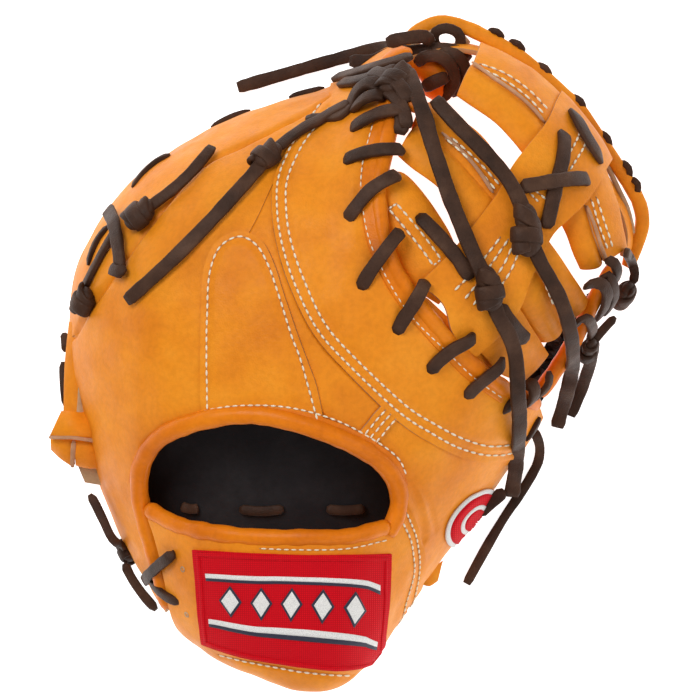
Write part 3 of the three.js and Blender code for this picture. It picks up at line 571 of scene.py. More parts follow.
# Rolled leather tips showing between those laces
bm = bmesh.new()
for rows, width, height in (
    ([(398, 70, 0, 20), (414, 62, 0, 25), (428, 66, 0, 27), (437, 80, 0, 26), (437, 96, 0, 22)], 0.0125, 0.009),
    ([(402, 88, 1.5), (410, 98, 2.4), (418, 112, 1.4)], 0.009, 0.006),
    ([(446, 52, 0, 22), (458, 58, 0, 24), (466, 66, 0, 22)], 0.008, 0.007),
    ([(384, 66, 2.0), (396, 56, 2.6), (410, 50, 1.8)], 0.01, 0.006),
):
    path, normals = routeThrough(rows)
    sweep(bm, path, normals, width, height, 18, 1.1, 0.5, 0.15)
bmesh.ops.recalc_face_normals(bm, faces=bm.faces)
finishPiece("web_top_lobes", bm, [bindingLeather])


# Overhand knots: two rounded lobes and a flat lace wound round them
def knotPiece(name, px, py, over, turn, length, width, replaces, phase=0.0):
    bm = bmesh.new()
    middle = spot(px, py, over)
    ahead = (spot(px + 5 * math.cos(turn), py - 5 * math.sin(turn), over) - middle).normalized()
    up = patternNormal(placeUnder(*plan(px, py), over))
    side = ahead.cross(up).normalized()
    up = side.cross(ahead)
    rise = width * 0.66
    for shift, broad, reach in ((0.2, 0.4, 0.31), (-0.17, 0.5, 0.34)):
        lobe = frameAt(middle + ahead * shift * length, ahead, up, width * broad, rise * broad)
        bmesh.ops.create_uvsphere(
            bm, u_segments=24, v_segments=16, radius=1.0, matrix=lobe @ Matrix.Diagonal((1, 1, length * reach, 1)),
        )
    for lean, begin, hug, shift in ((0.34, 0.0, 0.46, -0.16), (-0.3, 2.4, 0.4, 0.16), (0.1, 4.0, 0.5, -0.1)):
        points, normals = [], []
        for k in range(40):
            share = k / 39
            a = phase + begin + share * 2 * math.pi * 0.92
            swell = 0.78 + 0.22 * math.sin(math.pi * share)
            radial = (side * math.cos(a) * width + up * math.sin(a) * rise) * hug * swell
            along1 = length * (shift + (share - 0.5) * 0.22 + lean * 0.34 * math.cos(a))
            points.append(middle + radial + ahead * along1)
            normals.append(radial.normalized())
        sweep(bm, points, normals, width * 0.52, width * 0.2, 14, 1.8, 0.6, 0.05)
    bmesh.ops.recalc_face_normals(bm, faces=bm.faces)
    return finishPiece(name, bm, [laceLeather], replaces)


knotRows = [
    ("rim_knot_a", 140, 214, 4.0, 0.75, 0.0165, 0.0135, 0.3),
    ("rim_knot_b", 83, 301, 3.0, 1.2, 0.0135, 0.0125, 1.1),
    ("rim_knot_c", 268, 156, 4.2, 0.75, 0.015, 0.012, 2.0),
    ("web_knot_left", 487, 289, 6.2, 1.75, 0.0205, 0.0125, 0.8),
    ("web_knot_right", 525, 231, 6.4, 1.62, 0.0245, 0.0138, 1.7),
    ("thumb_knot_upper", 627, 293, 1.4, 1.2, 0.0135, 0.0115, 0.4),
    ("thumb_knot_lower", 591, 349, 5.0, 1.5, 0.0135, 0.0105, 2.4),
    ("heel_knot", 119, 557, 1.4, 2.0, 0.0115, 0.0105, 1.4),
    ("web_top_knot", 396, 80, 4.6, 0.9, 0.02, 0.013, 0.2),
]
for name, px, py, over, turn, length, width, phase in knotRows:
    knotPiece(name + "_wound", px, py, over / 1000, turn, length, width, [name], phase)


print("panels")
# Stitch lines press the leather down a little
pressedLines = []


def pressAt(place):
    dip = 0.0
    for line, width, deep, low, high in pressedLines:
        if not (low.x < place.x < high.x and low.y < place.y < high.y):
            continue
        nearest = width
        for a, b in zip(line, line[1:]):
            point, share = intersect_point_line(place, a, b)
            share = min(max(share, 0), 1)
            nearest = min(nearest, (place - a.lerp(b, share)).length)
        if nearest < width:
            dip = max(dip, deep * (0.5 + 0.5 * math.cos(math.pi * nearest / width)))
    return dip


def press(pixels, width=0.055, deep=0.0007, count=24):
    line = patternLine(pixels, count)
    low = Vector((min(p.x for p in line) - width, min(p.y for p in line) - width, 0))
    high = Vector((max(p.x for p in line) + width, max(p.y for p in line) + width, 0))
    pressedLines.append((line, width, deep, low, high))


def relief(place):
    # Broad soft swells of worked leather, less what the seams press in
    point = fromPattern(place)
    broad = noise.noise(point * 34.0)
    small = noise.noise(point * 95.0 + Vector((3.1, 1.7, 5.9)))
    return broad * 0.001 + small * 0.00042 - pressAt(place)


def drape(bm, over=0.0):
    for vert in bm.verts:
        place = Vector((vert.co.x, vert.co.y, 0))
        vert.co = fromPattern(place, -(over + vert.co.z + relief(place)))


def lookUp(bm, down=False):
    # Faces of an open sheet turn away from the mitt's middle
    bmesh.ops.recalc_face_normals(bm, faces=bm.faces)
    bm.normal_update()
    middle = Vector((0, 0, 0.02))
    score = sum(f.normal.dot(f.calc_center_median() - middle) * f.calc_area() for f in bm.faces)
    if (score < 0) != down:
        bmesh.ops.reverse_faces(bm, faces=bm.faces)


# A piece between four border lines
def patch(top, bottom, left, right, steps, swell=0.0):
    bm = bmesh.new()
    bmesh.ops.create_grid(bm, x_segments=steps[0], y_segments=steps[1], size=0.5)
    c00, c10, c01, c11 = bottom[0], bottom[-1], top[0], top[-1]
    for vert in bm.verts:
        u, v = vert.co.x + 0.5, vert.co.y + 0.5
        sides = along(bottom, u) * (1 - v) + along(top, u) * v
        ends = along(left, v) * (1 - u) + along(right, v) * u
        cornersMix = (c00 * (1 - u) + c10 * u) * (1 - v) + (c01 * (1 - u) + c11 * u) * v
        vert.co = sides + ends - cornersMix
        vert.co.z += swell * math.sin(math.pi * v) ** 0.7
    return bm


def straight(a, b, count=20):
    return [a.lerp(b, k / count) for k in range(count + 1)]


def leatherPanel(name, bm, over, replaces=(), thick=None, materials=None, bevel=0.0008):
    drape(bm, over)
    lookUp(bm)
    return finishPiece(name, bm, materials or [tanLeather, rawEdge], replaces, thick or mitt["leather"], bevel)


lines = {
    "groove": [(330, 98), (297, 118), (246, 143), (210, 160), (183, 184), (156, 216), (130, 250), (95, 300), (72, 335)],
    "uEdge": [(398, 86), (391, 120), (385, 150), (379, 180), (378, 205), (383, 240), (395, 272), (411, 297),
              (430, 320), (452, 346), (478, 370), (505, 389), (537, 405)],
    "thumbEdge": [(541, 395), (556, 374), (570, 352), (581, 332), (592, 308), (604, 286), (617, 266)],
    "seam": [(330, 98), (316, 112), (290, 147), (275, 179), (273, 212), (278, 247), (291, 288), (314, 334),
             (347, 372), (397, 420), (438, 446), (475, 461), (516, 458), (532, 452)],
    "binding": [(388, 534), (398, 512), (399, 490), (388, 468), (366, 450), (335, 435), (300, 423), (262, 415),
                (225, 416), (190, 424), (160, 438), (142, 462), (138, 490), (143, 520), (152, 552), (160, 582),
                (166, 606)],
    "strapTop": [(148, 510), (179, 525), (223, 533), (268, 536), (312, 536), (350, 535), (388, 526)],
    "strapEnd": [(366, 450), (388, 468), (399, 490), (404, 515), (413, 545), (415, 575), (406, 602), (394, 640)],
    "tongueLeft": [(203, 420), (202, 390), (202, 350), (203, 297), (206, 267), (218, 243), (241, 231)],
    "tongueRight": [(326, 430), (317, 386), (308, 361), (298, 334), (285, 296), (275, 265), (262, 241), (241, 231)],
    "seamOuter": [(321, 105), (292, 147), (279, 179), (278, 212), (283, 246), (296, 286), (318, 330), (350, 366),
                  (398, 411), (430, 432), (458, 447), (484, 454), (510, 453), (526, 447)],
    "seamInner": [(330, 109), (301, 150), (288, 181), (287, 212), (292, 244), (305, 282), (326, 325), (357, 360),
                  (404, 404), (435, 424), (462, 438), (486, 445), (508, 444), (524, 439)],
    "tongueSeam": [(209, 410), (208, 350), (209, 297), (212, 270), (222, 248), (241, 238), (258, 247), (270, 268),
                   (280, 297), (292, 335), (302, 362), (318, 420)],
    "openingSeam": [(145, 447), (176, 424), (208, 410), (245, 405), (290, 407), (335, 419), (372, 438), (394, 454),
                    (404, 470)],
    "rollSeam": [(373, 127), (363, 167), (362, 201), (369, 241), (384, 275), (401, 304), (418, 325), (446, 352),
                 (472, 377), (500, 397)],
}

press(lines["groove"], 0.034, 0.0021)
press(lines["seamOuter"], 0.035, 0.0008)
press(lines["seamInner"], 0.035, 0.0008)
press(lines["tongueSeam"], 0.03, 0.0007)
press(lines["openingSeam"], 0.035, 0.0012)
press(lines["rollSeam"], 0.03, 0.001)
press([(404, 476), (414, 492), (421, 515), (424, 540)], 0.045, 0.0011)
press([(412, 478), (428, 500), (436, 530)], 0.03, 0.0006)
press([(404, 512), (416, 540), (417, 573), (408, 607), (399, 635)], 0.035, 0.0008)
press([(219, 654), (285, 665), (350, 674)], 0.035, 0.0008)

# Leather turned up round the fingers
fingerRim = rimLine((331, 60), (66, 340), 90)
groove = patternLine(lines["groove"], 90)
bm = patch(groove, fingerRim, straight(fingerRim[0], groove[0]), straight(fingerRim[-1], groove[-1]), (110, 22))
leatherPanel("finger_rim_leather", bm, 0.0, ["finger_rim"])

# Finger panel, in two grids: round the outside, and between the tongue and the big seam
tongueTop = toPattern(*plan(243, 246))
seamNotch = toPattern(*plan(286, 153))
outerBorder = rimLine((166, 612), (70, 337), 45)[:-1] + patternLine(lines["groove"], 60)[::-1]
innerBorder = (
    patternLine([(166, 606), (160, 582), (152, 552), (143, 520), (138, 490), (142, 462), (160, 438), (184, 426),
                 (212, 419)], 44)[:-1]
    + patternLine([(213, 418), (213, 390), (213, 350), (214, 297), (217, 272), (226, 254), (243, 246)], 40)[:-1]
    + straight(tongueTop, seamNotch, 12)[:-1]
    + patternLine([(286, 153), (304, 127), (330, 98)], 16)
)
bm = patch(outerBorder, innerBorder, straight(innerBorder[0], outerBorder[0]),
           straight(innerBorder[-1], outerBorder[-1]), (180, 46))
leatherPanel("finger_back_leather", bm, 0.0, ["finger_back_panel"])
bm = patch(
    patternLine([(286, 153), (275, 179), (273, 212), (278, 247), (291, 288), (314, 334), (347, 372), (388, 412)], 60),
    patternLine([(243, 246), (256, 255), (266, 275), (275, 302), (287, 340), (297, 367), (306, 392), (313, 428)], 60),
    straight(tongueTop, seamNotch, 12),
    patternLine([(313, 428), (340, 438), (366, 450), (388, 412)], 30),
    (80, 26),
)
leatherPanel("finger_back_inner_leather", bm, -0.0004, (), 0.0006, bevel=None)

# Tongue in the middle of the back
left = patternLine(lines["tongueLeft"], 50)
right = patternLine(lines["tongueRight"], 50)
tongueFoot = patternLine([(203, 420), (232, 414), (262, 413), (296, 420), (326, 430)], 30)
bm = patch(right, left, tongueFoot, straight(left[-1], right[-1]), (80, 40))
leatherPanel("center_tongue_leather", bm, 0.001, ["center_tongue_panel"], 0.0016, bevel=0.0005)

# Panel beside the web, lying over the others along the double seam
seamFull = patternLine(lines["seam"], 90)
uLine = patternLine(lines["uEdge"], 90)
rimA = rimLine((331, 60), (399, 30), 30)
rimB = rimLine((528, 446), (541, 418), 30)
seamToRim = straight(rimA[0], seamFull[0], 8)[:-1] + seamFull + straight(seamFull[-1], rimB[0], 4)[1:]
uToRim = straight(rimA[-1], uLine[0], 8)[:-1] + uLine + straight(uLine[-1], rimB[-1], 4)[1:]
bm = patch(uToRim, seamToRim, rimA, rimB, (180, 60))
leatherPanel("web_side_leather", bm, 0.0011, ["web_side_panel"])

# Thumb panel and the wrist's thumb side
thumbRim = rimLine((394, 650), (528, 446), 60)
thumbTop = patternLine([(388, 412), (397, 420), (438, 446), (475, 461), (516, 458)], 60)
thumbTop += straight(thumbTop[-1], thumbRim[-1], 4)[1:]
thumbBottom = patternLine(lines["strapEnd"], 70)
thumbBottom += straight(thumbBottom[-1], thumbRim[0], 4)[1:]
bm = patch(thumbTop, thumbBottom, patternLine([(366, 450), (388, 412)], 10), thumbRim, (110, 60))
leatherPanel("thumb_back_leather", bm, 0.0, ["thumb_back_panel"])

# Short doubled strip that ties the opening to the big seam
bm = patch(patternLine([(397, 418), (388, 428), (376, 444)], 12), patternLine([(381, 404), (371, 415), (359, 432)], 12),
           patternLine([(381, 404), (397, 418)], 8), patternLine([(359, 432), (376, 444)], 8), (14, 12))
leatherPanel("bridge_leather", bm, 0.0012, (), 0.0016, bevel=0.0005)

# Wrist strap
strapBottom = rimLine((178, 640), (392, 650), 80)
strapTop = patternLine(lines["strapTop"] + [(405, 505)], 70)
strapLeft = patternLine([(148, 512), (157, 540), (165, 575), (171, 608)], 30)
strapLeft += straight(strapLeft[-1], strapBottom[0], 4)[1:]
strapRight = patternLine([(405, 505), (415, 521), (422, 545), (424, 575), (416, 607), (403, 642)], 40)
strapRight += straight(strapRight[-1], strapBottom[-1], 3)[1:]
bm = patch(strapTop, strapBottom, strapLeft[::-1], strapRight[::-1], (110, 60))
leatherPanel("wrist_strap_leather", bm, 0.0012, ["wrist_strap"], 0.003, bevel=0.0009)

print("bindings")


def surfacePath(rows, count, rise=0.0):
    flat = splineThrough([Vector((*plan(r[0], r[1]), (r[2] if len(r) > 2 else 0) / 1000)) for r in rows], count)
    points, normals = [], []
    for p in flat:
        place = toPattern(p.x, p.y)
        points.append(fromPattern(place, -(p.z + rise)))
        normals.append(patternNormal(place))
    return points, normals


def rollPiece(name, rows, radius, replaces, rise=-0.0008, count=110):
    bm = bmesh.new()
    points, normals = surfacePath(rows, count, rise)
    sweep(bm, points, normals, radius * 2.1, radius * 2, 20, 1.0, 0.85, 0.14)
    bmesh.ops.recalc_face_normals(bm, faces=bm.faces)
    return finishPiece(name, bm, [bindingLeather], replaces)


rollPiece("opening_roll", lines["binding"], 0.0041, ["opening_binding"])
rollPiece("strap_roll", lines["strapTop"], 0.0038, ["strap_top_roll"], count=60)
rollPiece("u_edge_roll", lines["uEdge"], 0.0037, ["u_edge_binding"])
rollPiece("thumb_edge_roll", lines["thumbEdge"], 0.0036, ["thumb_edge_binding"], count=40)

# Leather folded over beside the rolls, out to their stitches
foldRows = [
    ("opening_fold", [(398, 490), (388, 468), (366, 450), (335, 435), (300, 423), (262, 415), (225, 416),
                      (190, 424), (160, 438), (142, 462), (137, 480)],
     [(408, 484), (398, 460), (373, 440), (336, 421), (290, 409), (245, 407), (208, 412), (176, 426), (147, 449),
      (134, 466), (131, 482)]),
    ("u_edge_fold", [(398, 86), (391, 120), (385, 150), (379, 180), (378, 205), (383, 240), (395, 272), (411, 297),
                     (430, 320), (452, 346), (478, 370), (505, 389)],
     [(384, 90), (374, 124), (366, 152), (362, 180), (361, 205), (367, 243), (381, 277), (398, 305), (417, 328),
      (442, 355), (468, 380), (499, 401)]),
]
for name, near, far in foldRows:
    a, b = patternLine(near, 90), patternLine(far, 90)
    bm = patch(a, b, straight(b[0], a[0], 8), straight(b[-1], a[-1], 8), (120, 10))
    base = 0.0013 if name == "opening_fold" else 0.0021
    leatherPanel(name, bm, base, (), 0.0015, [bindingLeather, bindingLeather], 0.0006)

print("web")


def webPiece(name, top, bottom, replaces, over=-0.0032, steps=(50, 20), swell=0.0, thick=None):
    a, b = patternLine(top, 40), patternLine(bottom, 40)
    bm = patch(a, b, straight(b[0], a[0]), straight(b[-1], a[-1]), steps, swell)
    return leatherPanel(name, bm, over, replaces, thick)


webPiece("web_bar_lower_roll", [(430, 94), (466, 114), (493, 138), (516, 176)],
         [(408, 122), (434, 148), (460, 174), (490, 210)], ["web_bar_lower"], -0.0068, swell=0.0052)
webPiece("web_bar_lower_flap", [(416, 120), (441, 142), (468, 168), (500, 202)],
         [(395, 153), (412, 168), (446, 196), (464, 240)], (), -0.0042, swell=0.0034)
webPiece("web_bar_upper_roll", [(477, 50), (504, 66), (531, 88), (560, 122)],
         [(457, 85), (484, 103), (507, 121), (536, 156)], ["web_bar_upper"], -0.008, swell=0.006)
webPiece("web_bar_upper_flap", [(482, 36), (518, 53), (552, 78), (586, 112)],
         [(473, 61), (500, 77), (526, 96), (553, 128)], (), -0.0018, swell=0.0008)
webPiece("web_bar_upper_outer_flap", [(606, 150), (616, 182), (624, 214), (631, 247)],
         [(580, 190), (590, 215), (598, 240), (608, 264)], ["web_bar_upper_outer"], -0.0016, swell=0.0008)
webPiece("web_bar_upper_outer_roll", [(590, 186), (599, 216), (607, 242), (613, 262)],
         [(560, 206), (574, 230), (584, 256), (592, 277)], (), -0.008, swell=0.0062)
webPiece("web_bar_lower_outer_flap", [(546, 236), (562, 258), (578, 282), (593, 304)],
         [(528, 262), (544, 284), (558, 304), (574, 322)], ["web_bar_lower_outer"], -0.0016, swell=0.001)
webPiece("web_bar_lower_outer_roll", [(544, 256), (553, 280), (563, 303), (573, 328)],
         [(508, 292), (521, 314), (535, 333), (551, 350)], (), -0.007, swell=0.005)
webPiece("web_band_leather", [(387, 168), (404, 170), (430, 198), (452, 232), (462, 262)],
         [(380, 192), (386, 225), (400, 262), (416, 288), (440, 306)], ["web_band"], -0.0064, swell=0.0042)
webPiece("web_base_leather", [(500, 318), (517, 309), (534, 330), (553, 357)],
         [(474, 346), (488, 360), (503, 376), (527, 385)], ["web_base_flap"], -0.0026, swell=0.001)
webPiece("web_base_under", [(430, 300), (452, 322), (480, 350), (520, 374)],
         [(412, 290), (432, 318), (456, 344), (498, 380)], (), -0.0052, swell=0.0008)
webPiece("web_post_leather",
         [(417, 285), (446, 257), (473, 225), (495, 196), (511, 167), (528, 145), (546, 122), (562, 90)],
         [(473, 359), (496, 338), (517, 312), (532, 275), (551, 237), (569, 219), (590, 197), (614, 158)],
         ["web_post"], 0.0003, (100, 40), 0.0006)

# Cut edges of the folded bars, beside their stitches
bm = bmesh.new()
for rows in (
    [(472, 62, -0.9), (492, 77, -0.9), (515, 93, -0.9), (532, 108, -0.9), (544, 122, -0.9)],
    [(441, 134, -0.6), (458, 150, -0.6), (476, 170, -0.6), (492, 194, -0.8)],
    [(586, 206, -0.9), (594, 226, -0.9), (600, 245, -0.9), (607, 262, -1.2)],
    [(534, 262, -0.6), (542, 276, -0.6), (550, 294, -0.8), (555, 306, -1)],
):
    path, normals = routeThrough(rows, 0.002)
    sweep(bm, path, normals, 0.0017, 0.0013, 10, 1.6, 0.5, 0.25)
bmesh.ops.recalc_face_normals(bm, faces=bm.faces)
finishPiece("web_bar_cut_edges", bm, [paleEdge])

# Rim of the web: a folded band with a paler inner edge
webRimRows = [(401, 52, 0, 17), (409, 38, 0, 18), (420, 27, 0, 19), (441, 19, 0, 20), (465, 24, 0, 20),
              (490, 36, 0, 21), (516, 51, 0, 21), (540, 70, 0, 21), (562, 89, 0, 21), (580, 106, 0, 21),
              (597, 130, 0, 21), (610, 150, 0, 21), (628, 177, 0, 20), (642, 202, 0, 18), (645, 225, 0, 16),
              (637, 250, 0, 15), (629, 266, 0, 15)]
bm = bmesh.new()
path, normals = routeThrough(webRimRows, 0.003)
sweep(bm, path, normals, 0.0066, 0.0058, 16, 1.5, 0.7, 0.12)
bmesh.ops.recalc_face_normals(bm, faces=bm.faces)
finishPiece("web_rim_leather", bm, [tanLeather], ["web_rim"])
bm = bmesh.new()
innerRows = [(405, 56, 0, 18), (414, 43, 0, 19.6), (425, 34, 0, 20.6), (441, 27, 0, 21.4), (458, 31, 0, 21.6),
             (470, 41, 0, 21)]
path, normals = routeThrough(innerRows, 0.003)
sweep(bm, path, normals, 0.003, 0.004, 12, 1.6, 0.7, 0.1)
for rows in (
    [(540, 80, 0, 21), (552, 86, 0, 22), (564, 95, 0, 22.4), (576, 108, 0, 22)],
    [(607, 160, 0, 21.4), (619, 184, 0, 22), (630, 208, 0, 20.6), (636, 232, 0, 18.6)],
):
    path, normals = routeThrough(rows, 0.003)
    sweep(bm, path, normals, 0.0024, 0.003, 10, 1.4, 0.6, 0.1)
bmesh.ops.recalc_face_normals(bm, faces=bm.faces)
finishPiece("web_rim_inner_edge", bm, [suedeSide])

# Inner strip of the rim, under the bars
outer = rimLine((402, 40), (636, 262), 90)
bm = patch(outer, [p * 0.86 for p in outer], straight(outer[0] * 0.86, outer[0], 6),
           straight(outer[-1] * 0.86, outer[-1], 6), (120, 10))
leatherPanel("web_rim_strip", bm, -0.0058)

print("stitches")
stitch = {"pitch": 0.0044, "radius": 0.00054}


def addStitches(bm, rows, over, pitch=None, share=None, radius=None):
    pitch = pitch or stitch["pitch"]
    radius = radius or stitch["radius"]
    probe, normals = surfacePath(rows, 60)
    run = sum((b - a).length for a, b in zip(probe, probe[1:]))
    count = max(round(run / pitch), 2)
    marks, normals = surfacePath(rows, count * 2)
    for i in range(0, count * 2 - 1, 2):
        place = toPattern(marks[i + 1].x, marks[i + 1].y)
        lift = over + relief(place)
        a, b = marks[i], marks[i + 2] if i + 2 < len(marks) else marks[i + 1]
        ahead = b - a
        half = ahead.length * (share or 0.36)
        ahead.normalize()
        up = normals[i + 1]
        frameHere = frameAt(marks[i + 1] + up * lift, ahead, up, radius, radius * 0.8)
        bmesh.ops.create_uvsphere(
            bm, u_segments=8, v_segments=6, radius=1.0,
            matrix=frameHere @ Matrix.Diagonal((1, 1, half, 1)),
        )
        hole = frameAt(a + normals[i] * (lift - radius * 0.5), ahead, normals[i], radius * 0.9, radius * 0.7)
        made = bmesh.ops.create_uvsphere(
            bm, u_segments=8, v_segments=5, radius=1.0, matrix=hole @ Matrix.Diagonal((1, 1, radius * 1.1, 1)),
        )["verts"]
        for face in {f for v in made for f in v.link_faces}:
            face.material_index = 1


def stitchPiece(name, seams, thread=None, pitch=None, radius=None):
    bm = bmesh.new()
    for rows, over in seams:
        addStitches(bm, rows, over, pitch, None, radius)
    return finishPiece(name, bm, [thread or creamThread, rawEdge])


stitchPiece("big_seam_stitches", [(lines["seamOuter"], 0.0013), (lines["seamInner"], 0.0013)])
stitchPiece("tongue_stitches", [(lines["tongueSeam"], 0.0013)], pitch=0.0038, radius=0.0005)
stitchPiece("opening_stitches", [([(145, 447), (176, 424), (208, 410), (245, 405), (290, 407), (335, 419), (372, 438),
                                   (396, 456), (406, 474)], 0.0012)], pitch=0.0038, radius=0.00046)
stitchPiece("roll_stitches", [(lines["rollSeam"], 0.0020)], pitch=0.0036, radius=0.00036)
stitchPiece("bridge_stitches", [
    ([(384, 409), (374, 420), (364, 434)], 0.0016),
    ([(389, 413), (379, 424), (369, 438)], 0.0016),
    ([(394, 418), (385, 428), (375, 442)], 0.0016),
], pitch=0.0038, radius=0.00046)
stitchPiece("strap_end_stitches", [
    ([(399, 516), (409, 540), (411, 573), (403, 606), (394, 634)], 0.0015),
    ([(406, 512), (416, 539), (418, 574), (410, 608), (401, 632)], 0.0015),
], pitch=0.0038)
stitchPiece("strap_bottom_stitches", [([(219, 654), (262, 662), (305, 669), (350, 674)], 0.0015)])
stitchPiece("strap_top_stitches", [([(262, 546), (300, 547), (345, 546), (386, 538)], 0.0015)], pitch=0.0036,
            radius=0.00036)
stitchPiece("post_stitches", [
    ([(579, 132), (572, 146), (560, 166)], 0.0012), ([(587, 137), (580, 151), (567, 172)], 0.0012),
    ([(528, 196), (536, 204)], 0.0012), ([(530, 190), (544, 202)], 0.0012),
    ([(506, 241), (492, 261), (478, 281), (462, 300)], 0.0012), ([(510, 248), (500, 268), (486, 286), (470, 306)], 0.0012),
    ([(498, 239), (484, 257), (468, 276), (452, 292)], 0.0012), ([(516, 254), (507, 274), (494, 292), (478, 312)], 0.0012),
])
stitchPiece("bar_stitches", [
    ([(483, 68), (503, 78), (524, 93), (544, 114)], -0.0006), ([(481, 62), (506, 72), (529, 88), (549, 109)], -0.0006),
    ([(445, 140), (462, 155), (479, 172), (495, 191)], -0.0006), ([(451, 139), (467, 153), (484, 169), (499, 186)], -0.0006),
    ([(592, 200), (597, 216), (603, 234), (609, 250)], -0.0006), ([(597, 197), (603, 215), (609, 233), (614, 248)], -0.0006),
    ([(535, 264), (541, 278), (547, 292), (553, 306)], -0.0004),
])
stitchPiece("band_stitches", [
    ([(388, 209), (405, 229), (421, 249), (433, 266)], -0.0022), ([(396, 204), (413, 223), (429, 243), (441, 260)], -0.0022),
    ([(388, 209), (396, 204)], -0.0024), ([(433, 266), (441, 260)], -0.0024),
], pitch=0.004)

print("label")
labelTop = patternLine([(196, 548), (240, 550), (292, 552), (340, 552), (389, 552)], 60)
labelBottom = patternLine([(204, 642), (250, 655), (300, 662), (345, 666), (379, 660)], 60)
labelLeft = patternLine([(204, 642), (200, 595), (196, 548)], 40)
labelRight = patternLine([(379, 660), (386, 600), (389, 552)], 40)
bm = patch(labelTop, labelBottom, labelLeft, labelRight, (100, 50))
leatherPanel("strap_label_cloth", bm, 0.0022, ["strap_label"], 0.0014, [labelCloth, labelCloth], 0.0004)


def labelSpot(u, v):
    sides = along(labelBottom, u) * (1 - v) + along(labelTop, u) * v
    ends = along(labelLeft, v) * (1 - u) + along(labelRight, v) * u
    low = labelBottom[0] * (1 - u) + labelBottom[-1] * u
    high = labelTop[0] * (1 - u) + labelTop[-1] * u
    return sides + ends - low * (1 - v) - high * v


def labelBand(name, corners, thread, over, steps=(60, 3)):
    # Corners in shares of the label: lower left, lower right, upper left, upper right
    ends = [[labelSpot(a[0] + (b[0] - a[0]) * k / 30, a[1] + (b[1] - a[1]) * k / 30) for k in range(31)]
            for a, b in ((corners[2], corners[3]), (corners[0], corners[1]), (corners[0], corners[2]),
                         (corners[1], corners[3]))]
    bm = patch(*ends, steps)
    return leatherPanel(name, bm, over, (), 0.0007, [thread], None)


# The thin dark band just below each white stripe is a painted shadow under that stripe
for name, low, high, thread in (
    ("label_stripe_top", 0.72, 0.765, whiteThread), ("label_stripe_top_dark", 0.69, 0.72, darkThreadAndShadow),
    ("label_stripe_low", 0.25, 0.295, whiteThread), ("label_stripe_low_dark", 0.22, 0.25, darkThreadAndShadow),
):
    labelBand(name, [(0.06, low), (0.94, low), (0.06, high), (0.94, high)], thread, 0.0025)
for k in range(5):
    at = 0.18 + 0.16 * k
    for name, half, tall, thread, over in (("dark", 0.058, 0.155, darkThreadAndShadow, 0.0025), ("light", 0.044, 0.12, whiteThread, 0.0028)):
        labelBand(f"label_diamond_{name}_{k + 1}",
                  [(at - half, 0.5), (at, 0.5 - tall), (at, 0.5 + tall), (at + half, 0.5)], thread, over, (14, 14))
edge = [labelSpot(u, v) for u, v in
        [(0.03 + 0.94 * k / 24, 0.04) for k in range(25)] + [(0.97, 0.04 + 0.92 * k / 12) for k in range(1, 13)]
        + [(0.97 - 0.94 * k / 24, 0.96) for k in range(1, 25)] + [(0.03, 0.96 - 0.92 * k / 12) for k in range(1, 13)]]
bm = bmesh.new()
ring, ups = [], []
for place in edge:
    ring.append(fromPattern(place, -(0.0023 + relief(place))))
    ups.append(patternNormal(place))
sweep(bm, ring, ups, 0.0022, 0.0011, 10, 1.2, 1.0, 0.1)
bmesh.ops.recalc_face_normals(bm, faces=bm.faces)
finishPiece("label_hem", bm, [labelCloth])

print("round patch")
patchShape = {"x": 472, "y": 519, "long": 36, "short": 19, "turn": 0.84}


def ovalRows(scale, start=0.0, count=40):
    rows = []
    for k in range(count):
        a = start + 2 * math.pi * k / count
        along1, across = patchShape["long"] * scale * math.cos(a), patchShape["short"] * scale * math.sin(a)
        c, s = math.cos(patchShape["turn"]), math.sin(patchShape["turn"])
        rows.append((patchShape["x"] + along1 * c - across * s, patchShape["y"] - along1 * s - across * c))
    return rows


def ovalPiece(name, scale, over, material, replaces=(), thick=0.0009):
    bm = bmesh.new()
    bmesh.ops.create_circle(bm, cap_ends=True, cap_tris=True, segments=48, radius=1.0)
    bmesh.ops.subdivide_edges(bm, edges=bm.edges, cuts=4, use_grid_fill=True)
    c, s = math.cos(patchShape["turn"]), math.sin(patchShape["turn"])
    for vert in bm.verts:
        a, b = vert.co.x * patchShape["long"] * scale, vert.co.y * patchShape["short"] * scale
        px, py = patchShape["x"] + a * c - b * s, patchShape["y"] - a * s - b * c
        place = toPattern(*plan(px, py))
        vert.co = Vector((place.x, place.y, 0))
    return leatherPanel(name, bm, over, replaces, thick, [material], None)


ovalPiece("round_patch_border", 1.0, 0.0013, whiteThread, ["round_patch"])
ovalPiece("round_patch_field", 0.86, 0.0018, labelCloth)
ovalPiece("round_patch_ring", 0.5, 0.0022, whiteThread)
ovalPiece("round_patch_middle", 0.36, 0.0026, labelCloth)

print("strap eyelets")
bm = bmesh.new()
for px, py in ((185, 568), (189, 613)):
    place = toPattern(*plan(px, py))
    middle, up = fromPattern(place, -(0.0012 + relief(place))), patternNormal(place)
    side = up.orthogonal().normalized()
    other = up.cross(side)
    points = [middle + (side * math.cos(a) + other * math.sin(a)) * 0.0011 for a in [k * math.pi / 8 for k in range(17)]]
    sweep(bm, points, [up] * 17, 0.0008, 0.0008, 8, 1.0, 1.0)
bmesh.ops.recalc_face_normals(bm, faces=bm.faces)
finishPiece("strap_eyelets", bm, [suedeSide])

print("pinky strap")


def freeLine(rows, count=24):
    return splineThrough([Vector((*plan(r[0], r[1]), r[2] / 1000)) for r in rows], count)


def freePatch(name, top, bottom, swell, material, replaces=(), thick=0.0024):
    a, b = freeLine(top), freeLine(bottom)
    bm = patch(a, b, straight(b[0], a[0], 10), straight(b[-1], a[-1], 10), (26, 20), swell)
    lookUp(bm)
    return finishPiece(name, bm, material, replaces, thick, 0.0006)


